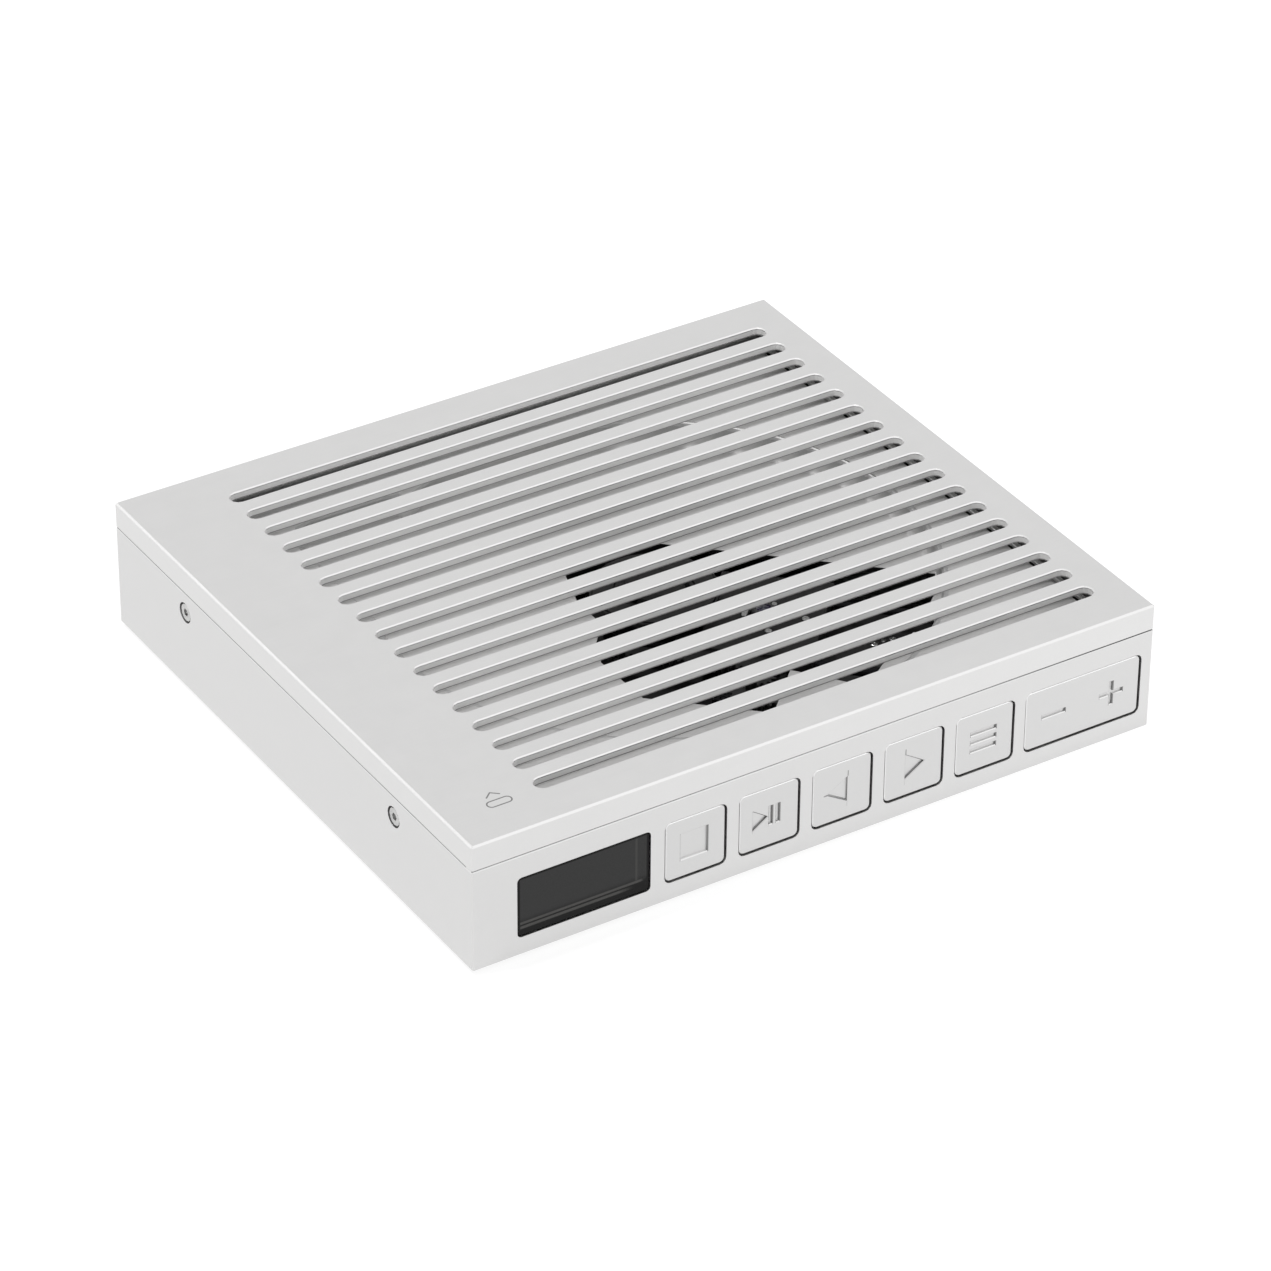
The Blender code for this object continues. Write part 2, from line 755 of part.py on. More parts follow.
def make_deck(mechanism):
    """The tray with the round disc well, the finger recess and the mechanism's opening in its floor."""
    deck_left = inner_left + deck_side_gap
    deck_right = inner_right - deck_side_gap
    plate = box(
        (deck_left, inner_front + seat_gap, deck_under),
        (deck_right, inner_rear - deck_rear_gap, deck_top),
    )
    deck = add("deck_plate", plate, deck_silver)
    centre = (disc_x, disc_y)
    join(deck, rod(well_radius + well_wall, floor_under, deck_top - bond, centre, sides=80))
    finger_low = (disc_x - finger_left, disc_y)
    finger_high = (disc_x - finger_right, disc_y + finger_rear)
    outer_low, outer_high = grown(finger_low, finger_high, well_wall)
    join(
        deck,
        slab(rounded(outer_low, outer_high, finger_corner + well_wall), floor_under, deck_top - bond),
    )

    def well_outline(growth):
        return arc(centre, well_radius + growth, 0, math.tau, 80)[:-1]

    def finger_outline(growth):
        return rounded(*grown(finger_low, finger_high, growth), finger_corner + growth)

    cut(deck, pocket_tool(well_outline))
    cut(deck, pocket_tool(finger_outline))
    opening_shares = (
        (-0.047, 0.53),
        (1.0, 0.53),
        (1.016, 0.3),
        (0.992, -0.02),
        (0.9, -0.43),
        (0.87, -0.65),
        (0.577, -0.576),
        (0.565, -1.0),
        (0.085, -1.0),
        (-0.108, -0.708),
        (-0.15, -0.532),
        (-0.159, -0.331),
        (-0.27, -0.152),
        (-0.352, 0.105),
    )
    outline = [(along * opening_reach, across * opening_side) for along, across in opening_shares]
    cut(deck, slab(outline, floor_under - overrun, floor_top + overrun), parent=mechanism)
    lens_half = lens_radius + lens_air
    window_end = (lens_limit + lens_half, lens_half)
    lens_window = rounded((lens_rest, -lens_half), window_end, lens_half * round_end_share)
    cut(deck, slab(lens_window, floor_under - overrun, floor_top + overrun), parent=mechanism)
    for side_x in (-1, 1):
        for side_y in (-1, 1):
            join(deck, lug_box(side_x, side_y))
            near = side_x * (lug_tip - side_shank_length)
            far = side_x * (lug_tip + overrun)
            cut(
                deck,
                rod(
                    screw_shank_radius + screw_hole_air,
                    min(near, far),
                    max(near, far),
                    (side_y * side_screw_reach, side_screw_z),
                    "X",
                    12,
                ),
            )
        pocket = magnet_radius + seat_gap
        magnet_x = side_x * magnet_reach
        magnet_low = deck_top - magnet_height - seat_gap
        name = "deck_magnet_left" if side_x < 0 else "deck_magnet_right"
        join(
            deck,
            rod(pocket + magnet_wall, magnet_boss_low, deck_under + bond, (magnet_x, magnet_y)),
        )
        cut(deck, rod(pocket, magnet_low - seat_gap, deck_top + overrun, (magnet_x, magnet_y)))
        mesh = rod(magnet_radius, -magnet_height / 2, magnet_height / 2)
        add(name, mesh, magnet_nickel, (magnet_x, magnet_y, magnet_low + magnet_height / 2))


def screw_mesh(length):
    """A small screw, head up, with a six-sided socket. The origin is under the head."""
    return turned(
        (
            (0, screw_head_height),
            (screw_head_radius, screw_head_height),
            (screw_head_radius, 0),
            (screw_shank_radius, 0),
            (screw_shank_radius, -length),
            (0, -length),
        ),
        12,
    )


def add_screw(name, length, place, direction):
    """Places a screw so that its head points along the direction, with the socket cut in."""
    screw = add(name, screw_mesh(length), screw_steel, place)
    turn = Vector((0, 0, 1)).rotation_difference(Vector(direction))
    screw.rotation_mode = "QUATERNION"
    screw.rotation_quaternion = turn
    socket_low = screw_head_height - socket_depth
    tool = add_tool(rod(socket_radius, socket_low, screw_head_height + overrun, sides=6))
    tool.parent = screw
    combine(screw, tool, "DIFFERENCE")


def make_screws():
    number = 1
    for side_x in (-1, 1):
        for side_y in (-1, 1):
            seat_x = right - side_recess_depth + seat_gap
            length = side_shank_length + seat_x - lug_tip - seat_gap
            place = (side_x * seat_x, side_y * side_screw_reach, side_screw_z)
            add_screw("side_screw_%d" % number, length, place, (side_x, 0, 0))
            seat_z = foot_height + screw_head_height
            place = (side_x * base_screw_x, side_y * base_post_reach, seat_z)
            shank = base_top + base_shank_length - seat_z
            add_screw("base_screw_%d" % number, shank, place, (0, 0, -1))
            number += 1


def make_base(mount_places):
    """The bottom plate with standoffs for the main board and posts for the mechanism."""
    inset = seat_gap
    plate = box(
        (inner_left + inset, inner_front + inset, foot_height),
        (inner_right - inset, inner_rear - inset, base_top),
    )
    base = add("base_plate", plate, silver)
    for side_x in (-1, 1):
        for side_y in (-1, 1):
            centre = (side_x * base_screw_x, side_y * base_post_reach)
            head_hole = screw_head_radius + screw_hole_air
            seat_z = foot_height + screw_head_height + seat_gap
            cut(base, rod(head_hole, foot_height - overrun, seat_z, centre))
            shank_hole = screw_shank_radius + screw_hole_air
            cut(base, rod(shank_hole, foot_height - overrun, base_top + overrun, centre, sides=12))
            foot = (side_x * (right - foot_inset_x), side_y * (rear - foot_inset_y))
            foot_hole = foot_radius + seat_gap
            cut(base, rod(foot_hole, foot_height - overrun, foot_height + foot_sink, foot, sides=20))
    for x in (-main_board_width / 2 + standoff_inset, main_board_width / 2 - standoff_inset):
        for y in (main_board_front + standoff_inset, main_board_rear - standoff_inset):
            join(base, rod(standoff_radius, base_top - bond, base_top + standoff_height, (x, y), sides=16))
    for x, y in mount_places:
        join(base, rod(mount_post_radius, base_top - bond, chassis_top + seat_gap, (x, y), sides=16))


def make_feet():
    number = 1
    for side_x in (-1, 1):
        for side_y in (-1, 1):
            height = foot_height + foot_sink - seat_gap
            mesh = turned(
                (
                    (0, height),
                    (foot_radius, height),
                    (foot_radius, foot_height - seat_gap),
                    (foot_radius - foot_taper, 0),
                    (0, 0),
                ),
                20,
            )
            place = (side_x * (right - foot_inset_x), side_y * (rear - foot_inset_y), 0)
            add("foot_%d" % number, mesh, black_rubber, place)
            number += 1


def key_mesh(low, high, flange_low, flange_high, nubs, origin):
    """A key: a cap that fills its opening, a flange that traps it behind the wall, and its nubs."""
    middle_z = origin[2]

    def local(corner):
        return (corner[0] - origin[0], corner[1] - middle_z)

    cap_low, cap_high = grown(low, high, -key_gap)
    outline = rounded(local(cap_low), local(cap_high), key_corner - key_gap)
    cap_front = front - origin[1]
    cap = slab(outline, cap_front, flange_front + bond - origin[1], "Y")
    chamfered(cap, lambda middle, way: abs(way.y) < 0.5 and middle.y < cap_front + key_edge, key_edge)
    outline = rounded(local(flange_low), local(flange_high), key_corner)
    flange = slab(outline, flange_front - origin[1], flange_back - origin[1], "Y")
    nub_meshes = []
    for x in nubs:
        start = flange_back - bond - origin[1]
        end = flange_back + nub_length - origin[1]
        centre = (x - origin[0], key_middle - middle_z)
        nub_meshes.append(rod(nub_radius, start, end, centre, "Y", 16))
    return cap, flange, nub_meshes


def make_keys():
    """Five push buttons and the volume rocker, each with its origin on its own joint."""
    for name, (low, high) in zip(key_names, key_boxes):
        origin = ((low[0] + high[0]) / 2, front, key_middle)
        flange_low, flange_high = grown(low, high, flange_lip)
        cap, flange, nubs = key_mesh(low, high, flange_low, flange_high, (origin[0],), origin)
        key = add(name, cap, silver, origin)
        join(key, flange, parent=key)
        for nub in nubs:
            join(key, nub, parent=key)
    origin = (rocker_middle, flange_back, key_middle)
    low = (rocker_low[0] + rocker_flange_inset, rocker_low[1] - rocker_flange_lip)
    high = (rocker_high[0] - rocker_flange_inset, rocker_high[1] + rocker_flange_lip)
    nubs = (rocker_middle - rocker_switch_reach, rocker_middle + rocker_switch_reach)
    cap, flange, nub_meshes = key_mesh(rocker_low, rocker_high, low, high, nubs, origin)
    rocker = add("volume_rocker", cap, silver, origin)
    join(rocker, flange, parent=rocker)
    for nub in nub_meshes:
        join(rocker, nub, parent=rocker)


def make_front_electronics():
    """The window, the display behind it, and the carrier and board that hold the key switches."""
    low, high = grown(window_low, window_high, -key_gap)
    outline = rounded(low, high, window_corner - key_gap)
    add("display_glass", slab(outline, front + window_recess, inner_front, "Y"), dark_glass)
    low, high = grown(window_low, window_high, module_border)
    module = box((low[0], flange_front, low[1]), (high[0], flange_front + module_thickness, high[1]))
    add("display_module", module, module_black)
    carrier = add(
        "button_carrier",
        box(
            (inner_left + carrier_inset, carrier_front, carrier_low),
            (inner_right - carrier_inset, carrier_back, carrier_high),
        ),
        black_plastic,
    )
    module_low, module_high = grown(low, high, seat_gap)
    cut(
        carrier,
        box(
            (module_low[0], carrier_front - overrun, module_low[1]),
            (module_high[0], carrier_back + overrun, module_high[1]),
        ),
    )
    for x in switch_places:
        centre = (x, key_middle)
        ends = (carrier_front - overrun, carrier_back + overrun)
        cut(carrier, rod(carrier_hole_radius, *ends, centre, "Y", 16))
    fulcrum_tip = flange_back + seat_gap
    fulcrum_y = fulcrum_tip + fulcrum_radius
    half = fulcrum_height / 2
    join(
        carrier,
        rod(fulcrum_radius, key_middle - half, key_middle + half, (rocker_middle, fulcrum_y), sides=12),
    )
    join(
        carrier,
        box(
            (rocker_middle - fulcrum_radius, fulcrum_y, key_middle - half),
            (rocker_middle + fulcrum_radius, carrier_front + bond, key_middle + half),
        ),
    )
    board = add(
        "key_board",
        box(
            (inner_left + carrier_inset, board_front, carrier_low),
            (inner_right - carrier_inset, board_front + key_board_thickness, carrier_high),
        ),
        board_green,
    )
    half = switch_size / 2
    for x in switch_places:
        join(
            board,
            box(
                (x - half, switch_front, key_middle - half),
                (x + half, board_front + bond, key_middle + half),
            ),
        )


def make_main_electronics():
    """The main board with its shields, the battery, and the sockets in the right wall."""
    board_low = board_top - main_board_thickness
    half = main_board_width / 2
    board = add(
        "main_circuit_board",
        box((-half, main_board_front, board_low), (half, main_board_rear, board_top)),
        board_green,
    )
    tab_rear = base_post_reach - post_size / 2 - seat_gap
    join(board, box((half - bond, main_board_front, board_low), (board_tab_end, tab_rear, board_top)))
    middle = (main_board_front + main_board_rear) / 2
    for x in (-shield_reach, shield_reach / 2):
        join(
            board,
            box(
                (x - shield_width / 2, middle - shield_depth / 2, board_top - bond),
                (x + shield_width / 2, middle + shield_depth / 2, board_top + shield_height),
            ),
        )
    battery_low = (inner_left + battery_side_gap, inner_front + battery_front_gap)
    battery_high = (battery_low[0] + battery_width, battery_low[1] + battery_depth)
    outline = rounded(battery_low, battery_high, battery_corner)
    bottom = base_top + seat_gap
    add("battery_pack", slab(outline, bottom, bottom + battery_height), battery_wrap)
    body_right = inner_right - seat_gap
    sockets = (("headphone_jack", headphone_y, headphone_bore), ("balanced_jack", balanced_y, balanced_bore))
    for name, y, bore in sockets:
        half = socket_body_width / 2
        low = board_top + seat_gap
        body = box(
            (body_right - socket_body_length, y - half, low),
            (body_right, y + half, low + socket_body_height),
        )
        jack = add(name, body, black_plastic)
        centre = (y, socket_z)
        bore_end = body_right - socket_body_length + socket_end_wall
        join(jack, rod(bore + socket_collar_wall, body_right - bond, right - socket_recess, centre, "X"))
        cut(jack, rod(bore, bore_end, right + overrun, centre, "X", 20))
    shell = usb_prism(0, right - socket_recess - usb_length, right - socket_recess)
    usb = add("usb_socket", shell, steel)
    cut(usb, usb_prism(-usb_wall, right - socket_recess - usb_length + usb_wall, right + overrun))
    tongue_half = usb_width / 2 - usb_height / 2 - usb_wall
    join(
        usb,
        box(
            (right - socket_recess - usb_length + usb_wall / 2, usb_y - tongue_half, usb_z - usb_tongue / 2),
            (right - socket_recess - usb_tongue_set, usb_y + tongue_half, usb_z + usb_tongue / 2),
        ),
    )


def make_mechanism_frame():
    """The empty that carries the mechanism, at the spindle and turned along the pickup's travel."""
    frame = bpy.data.objects.new("mechanism_frame", None)
    frame.location = (disc_x, disc_y, 0)
    frame.rotation_euler = (0, 0, sled_angle)
    player.objects.link(frame)
    bpy.context.view_layer.update()
    return frame


rack_pitch = math.pi * rack_module
rail_outer = chassis_outer - bond - rail_block_length
small_gear_radius = rack_module * small_gear_teeth / 2
large_gear_radius = rack_module * large_gear_teeth / 2
motor_pinion_radius = rack_module * motor_pinion_teeth / 2
gear_side = -rack_line - small_gear_radius
train_length = large_gear_radius + motor_pinion_radius
motor_place = (
    pinion_place + train_length * math.cos(train_angle),
    gear_side + train_length * math.sin(train_angle),
)
lobe_side = sled_motor_radius + motor_air + chassis_rim_wall - motor_place[1]
damper_places = (
    (-chassis_inner + 2 * damper_radius, chassis_left - 2 * damper_radius),
    (chassis_outer - 2 * damper_radius, chassis_left - 2 * damper_radius),
    (chassis_outer - 2 * damper_radius, -chassis_right + 2 * damper_radius),
    (lobe_inner, -lobe_side + 2 * damper_radius),
)
large_gear_low = gear_low
large_gear_high = large_gear_low + gear_thickness
rack_low = large_gear_high + gear_thickness / 2
rack_high = rack_low + rack_thickness
small_gear_high = rack_high + seat_gap


def chassis_outline(inset):
    """The edge of the mechanism plate, moved in by the inset, in the mechanism's own frame."""
    return (
        (-chassis_inner + inset, -chassis_right + inset),
        (-lobe_inner + inset, -chassis_right + inset),
        (-lobe_inner + inset, -lobe_side + inset),
        (lobe_outer - inset, -lobe_side + inset),
        (lobe_outer - inset, -chassis_right + inset),
        (chassis_outer - inset, -chassis_right + inset),
        (chassis_outer - inset, chassis_left - inset),
        (-chassis_inner + inset, chassis_left - inset),
    )


def make_chassis(frame):
    """The black mechanism plate with its rim, rail blocks, the gear axle and a lobe for the motor."""
    rim_top = chassis_top + chassis_rim_height
    mesh = slab(chassis_outline(0), chassis_low, rim_top)
    chassis = add("mechanism_chassis", mesh, black_plastic, parent=frame)
    cut(chassis, slab(chassis_outline(chassis_rim_wall), chassis_top, rim_top + overrun), parent=frame)
    block_high = rail_z + main_rail_radius + rail_block_rise
    blocks = (
        (rail_inner, -main_rail_side),
        (rail_outer, -main_rail_side),
        (rail_inner, support_rail_side),
        (rail_outer, support_rail_side),
    )
    for start, side in blocks:
        half = rail_block_width / 2
        join(
            chassis,
            box(
                (start, side - half, chassis_top - bond),
                (start + rail_block_length, side + half, block_high),
            ),
            parent=frame,
        )
    for side, radius in ((-main_rail_side, main_rail_radius), (support_rail_side, support_rail_radius)):
        low = rail_inner + rail_stop
        high = rail_outer + rail_block_length - rail_stop
        cut(chassis, rod(radius + seat_gap, low, high, (side, rail_z), "X", 16), parent=frame)
    axle = (pinion_place, gear_side)
    boss_top = gear_low - seat_gap
    join(chassis, rod(gear_boss_radius, chassis_top - bond, boss_top, axle, sides=16), parent=frame)
    axle_top = small_gear_high + seat_gap
    join(chassis, rod(axle_radius, gear_low - seat_gap - bond, axle_top, axle, sides=16), parent=frame)
    for place in damper_places:
        hole = mount_post_radius + seat_gap
        cut(chassis, rod(hole, chassis_low - overrun, chassis_top + overrun, place, sides=16), parent=frame)


def make_dampers(frame):
    """Four rubber rings round the base's posts, which the chassis rests on."""
    low = base_top + seat_gap
    high = chassis_low - seat_gap
    inner = mount_post_radius + seat_gap
    middle = (low + high) / 2
    for number, place in enumerate(damper_places, 1):
        mesh = turned(
            (
                (inner, high),
                (damper_radius, high),
                (damper_radius - damper_waist, middle),
                (damper_radius, low),
                (inner, low),
            ),
            14,
        )
        add("damper_%d" % number, mesh, black_rubber, (*place, 0), frame)


def make_spindle(frame):
    """The flat motor, and the turntable with its centring boss, rubber mat and clamp balls."""
    low = chassis_top + seat_gap
    high = low + spindle_motor_height
    motor = turned(
        (
            (0, platter_top),
            (spindle_radius, platter_top),
            (spindle_radius, high),
            (spindle_motor_radius - bond, high),
            (spindle_motor_radius, high - bond),
            (spindle_motor_radius, low),
            (0, low),
        ),
        28,
    )
    add("spindle_motor", motor, steel, parent=frame)
    bore = spindle_radius + seat_gap
    boss_top = platter_top + hub_boss_height
    groove = platter_top - mat_sink
    hub = turned(
        (
            (bore, boss_top),
            (hub_boss_radius - hub_chamfer, boss_top),
            (hub_boss_radius, boss_top - hub_chamfer),
            (hub_boss_radius, platter_top),
            (mat_inner - seat_gap, platter_top),
            (mat_inner - seat_gap, groove),
            (mat_outer + seat_gap, groove),
            (mat_outer + seat_gap, platter_top),
            (platter_radius, platter_top),
            (platter_radius, platter_low),
            (hub_neck_radius, platter_low),
            (hub_neck_radius, high + seat_gap),
            (bore, high + seat_gap),
        ),
        32,
    )
    hub_piece = add("turntable_hub", hub, black_plastic, parent=frame)
    mat_low = groove + seat_gap
    mat_high = mat_low + mat_thickness
    mat = turned(
        ((mat_inner, mat_high), (mat_outer, mat_high), (mat_outer, mat_low), (mat_inner, mat_low)), 32
    )
    add("turntable_mat", mat, black_rubber, parent=frame)
    ball_height = platter_top + hub_boss_height / 2
    ball_reach = hub_boss_radius + clamp_ball_proud - clamp_ball_radius
    for number in range(clamp_ball_count):
        angle = math.tau * number / clamp_ball_count
        pocket = clamp_ball_radius + seat_gap
        tool = rod(pocket, ball_reach - pocket, hub_boss_radius + overrun, (0, ball_height), "X", 10)
        tool.transform(Matrix.Rotation(angle, 4, "Z"))
        cut(hub_piece, tool, parent=frame)
        form = bmesh.new()
        bmesh.ops.create_uvsphere(form, u_segments=10, v_segments=6, radius=clamp_ball_radius)
        ball = bpy.data.meshes.new("ball")
        form.to_mesh(ball)
        form.free()
        ball.shade_smooth()
        place = (ball_reach * math.cos(angle), ball_reach * math.sin(angle), ball_height)
        add("clamp_ball_%d" % (number + 1), ball, steel, place, frame)


def make_rails(frame):
    low = rail_inner + rail_stop + seat_gap
    high = rail_outer + rail_block_length - rail_stop - seat_gap
    middle = (low + high) / 2
    half = (high - low) / 2
    for name, radius, side in (
        ("main_rail", main_rail_radius, -main_rail_side),
        ("support_rail", support_rail_radius, support_rail_side),
    ):
        add(name, rod(radius, -half, half, axis="X", sides=14), steel, (middle, side, rail_z), frame)


def make_pickup(frame):
    """The sled on its two rails with the rack that drives it, and the sprung lens in its pocket."""
    body = box((-sled_inner, -sled_half_width, sled_low), (sled_outer, sled_half_width, sled_top))
    sled = add("pickup_sled", body, black_plastic, (lens_rest, 0, 0), frame)
    ends = (-sled_inner - overrun, sled_outer + overrun)
    cut(sled, rod(main_rail_radius + seat_gap, *ends, (-main_rail_side, rail_z), "X", 14), parent=sled)
    fork_half = support_rail_radius + seat_gap
    cut(
        sled,
        box(
            (ends[0], support_rail_side - fork_half, rail_z - fork_half),
            (ends[1], sled_half_width + overrun, rail_z + fork_half),
        ),
        parent=sled,
    )
    pocket = lens_radius + lens_air
    pocket_low = sled_top - lens_depth - lens_travel - seat_gap
    cut(sled, rod(pocket, pocket_low, sled_top + overrun, sides=20), parent=sled)
    root = -rack_line + dedendum
    rack_start = -rack_inner
    rack_end = rack_outer
    teeth_shift = pinion_place - lens_rest
    outline = [(rack_start, root + rack_backing), (rack_start, root)]
    number = math.ceil((rack_start - teeth_shift) / rack_pitch - 0.5)
    while teeth_shift + (number + 0.5 + tooth_root_share / 2) * rack_pitch < rack_end:
        middle = teeth_shift + (number + 0.5) * rack_pitch
        if middle - tooth_root_share / 2 * rack_pitch > rack_start:
            outline += [
                (middle - tooth_root_share / 2 * rack_pitch, root),
                (middle - tooth_tip_share / 2 * rack_pitch, -rack_line - addendum),
                (middle + tooth_tip_share / 2 * rack_pitch, -rack_line - addendum),
                (middle + tooth_root_share / 2 * rack_pitch, root),
            ]
        number += 1
    outline += [
        (rack_end, root),
        (rack_end, -sled_half_width + bond),
        (-sled_inner + bond, -sled_half_width + bond),
        (-sled_inner + bond, root + rack_backing),
    ]
    join(sled, slab(outline, rack_low, rack_high), parent=sled)
    lens_low = -lens_depth
    lens_mesh = turned(
        (
            (0, lens_proud),
            (lens_radius * lens_dome_shares[0], lens_proud - lens_dome_drop / 2),
            (lens_radius * lens_dome_shares[1], lens_proud - lens_dome_drop),
            (lens_radius * lens_dome_shares[2], lens_proud),
            (lens_radius - bond, lens_proud),
            (lens_radius, lens_proud - bond),
            (lens_radius, lens_low),
            (0, lens_low),
        ),
        20,
    )
    add("objective_lens", lens_mesh, lens_glass, (lens_rest, 0, sled_top), frame)


def make_gears(frame):
    """The two-step gear that drives the rack, the flat motor under it and the motor's pinion."""
    low = large_gear_low
    large = slab(gear_outline(large_gear_teeth, train_angle), 0, gear_thickness)
    gear = add("drive_gear", large, gear_plastic, (pinion_place, gear_side, low), frame)
    small = slab(gear_outline(small_gear_teeth), gear_thickness - bond, small_gear_high - low)
    join(gear, small, parent=gear)
    cut(gear, rod(axle_radius + seat_gap, -overrun, small_gear_high - low + overrun, sides=16), parent=gear)
    step = math.tau / motor_pinion_teeth
    facing = train_angle + math.pi
    pinion = slab(gear_outline(motor_pinion_teeth, facing + step / 2), 0, gear_thickness)
    gear = add("motor_pinion", pinion, brass, (*motor_place, low), frame)
    cut(gear, rod(motor_shaft_radius + seat_gap, -overrun, gear_thickness + overrun, sides=12), parent=gear)
    can_low = chassis_top + seat_gap
    can_high = gear_low - sled_motor_top_gap
    motor = turned(
        (
            (0, large_gear_high),
            (motor_shaft_radius, large_gear_high),
            (motor_shaft_radius, can_high),
            (sled_motor_radius - bond, can_high),
            (sled_motor_radius, can_high - bond),
            (sled_motor_radius, can_low),
            (0, can_low),
        ),
        20,
    )
    add("sled_motor", motor, steel, (*motor_place, 0), frame)


mechanism_frame = make_mechanism_frame()
world_mounts = []
for spot in damper_places:
    point = mechanism_frame.matrix_world @ Vector((*spot, 0))
    world_mounts.append((point.x, point.y))

make_housing()
make_lid()
make_hinge_pins()
make_deck(mechanism_frame)
make_screws()
make_base(world_mounts)
make_feet()
make_keys()
make_front_electronics()
make_main_electronics()
make_chassis(mechanism_frame)
make_dampers(mechanism_frame)
make_spindle(mechanism_frame)
make_rails(mechanism_frame)
make_pickup(mechanism_frame)
make_gears(mechanism_frame)
bpy.context.view_layer.update()
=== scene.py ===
import bpy
import numpy as np
from mathutils import Matrix, Vector


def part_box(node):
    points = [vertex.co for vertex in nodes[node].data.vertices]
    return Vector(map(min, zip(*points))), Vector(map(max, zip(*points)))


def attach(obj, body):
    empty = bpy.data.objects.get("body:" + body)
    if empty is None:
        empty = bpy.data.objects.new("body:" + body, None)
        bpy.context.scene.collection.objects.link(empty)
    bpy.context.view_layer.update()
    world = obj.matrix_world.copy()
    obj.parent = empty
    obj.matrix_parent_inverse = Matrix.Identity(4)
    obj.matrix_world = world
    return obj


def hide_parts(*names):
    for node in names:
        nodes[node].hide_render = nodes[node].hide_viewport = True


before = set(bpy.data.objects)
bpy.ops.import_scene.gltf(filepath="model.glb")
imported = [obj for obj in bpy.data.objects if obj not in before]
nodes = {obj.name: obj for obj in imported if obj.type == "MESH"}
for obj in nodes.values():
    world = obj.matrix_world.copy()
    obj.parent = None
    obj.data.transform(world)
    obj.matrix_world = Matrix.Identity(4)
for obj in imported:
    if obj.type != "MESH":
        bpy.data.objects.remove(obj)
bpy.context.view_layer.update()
scene = bpy.context.scene
mm = 0.001
print("frame loaded with", len(nodes), "CAD nodes")

# Camera, set up from the case's corners in the photograph. Place and clip in metres, lens and sensor in mm
cameraLook = {
    "place": (-0.5494, -0.8690, 0.6909),
    "right": (0.84671, -0.53201, 0.00658),
    "up": (0.28897, 0.47023, 0.83390),
    "lens": 163.783,
    "sensor": 36,
    "clip": (0.05, 20),
}


def makeCamera(look):
    # Back stands square to right and up, and up is then squared to the other two
    lens = bpy.data.cameras.new("camera")
    lens.lens = look["lens"]
    lens.sensor_width = look["sensor"]
    lens.clip_start, lens.clip_end = look["clip"]
    holder = bpy.data.objects.new("camera", lens)
    scene.collection.objects.link(holder)
    right = Vector(look["right"]).normalized()
    back = right.cross(Vector(look["up"])).normalized()
    up = back.cross(right)
    turn = Matrix((right, up, back)).transposed()
    holder.matrix_world = Matrix.Translation(look["place"]) @ turn.to_4x4()
    scene.camera = holder


makeCamera(cameraLook)
scene.view_settings.view_transform = "Standard"
print("camera placed")


# Shader maths

class Wire:
    # One output of a material's node; arithmetic on it adds Math nodes
    def __init__(self, finish, socket):
        self.finish = finish
        self.socket = socket

    def maths(self, operation, *values):
        return self.finish.node("ShaderNodeMath", {"operation": operation}, dict(enumerate(values)))

    def beside(self, name):  # another output of the same node
        return Wire(self.finish, self.socket.node.outputs[name])

    def __add__(self, other):
        return self.maths("ADD", self, other)

    __radd__ = __add__

    def __sub__(self, other):
        return self.maths("SUBTRACT", self, other)

    def __rsub__(self, other):
        return self.maths("SUBTRACT", other, self)

    def __mul__(self, other):
        return self.maths("MULTIPLY", self, other)

    __rmul__ = __mul__

    def __truediv__(self, other):
        return self.maths("DIVIDE", self, other)

    def __abs__(self):
        return self.maths("ABSOLUTE", self)

    def __mod__(self, other):
        return self.maths("FLOORED_MODULO", self, other)

    def least(self, other):
        return self.maths("MINIMUM", self, other)

    def most(self, other):
        return self.maths("MAXIMUM", self, other)

    def root(self):
        return self.maths("SQRT", self)

    def snapped(self, size):  # down to a whole number of steps of that size
        return self.maths("SNAP", self, size)


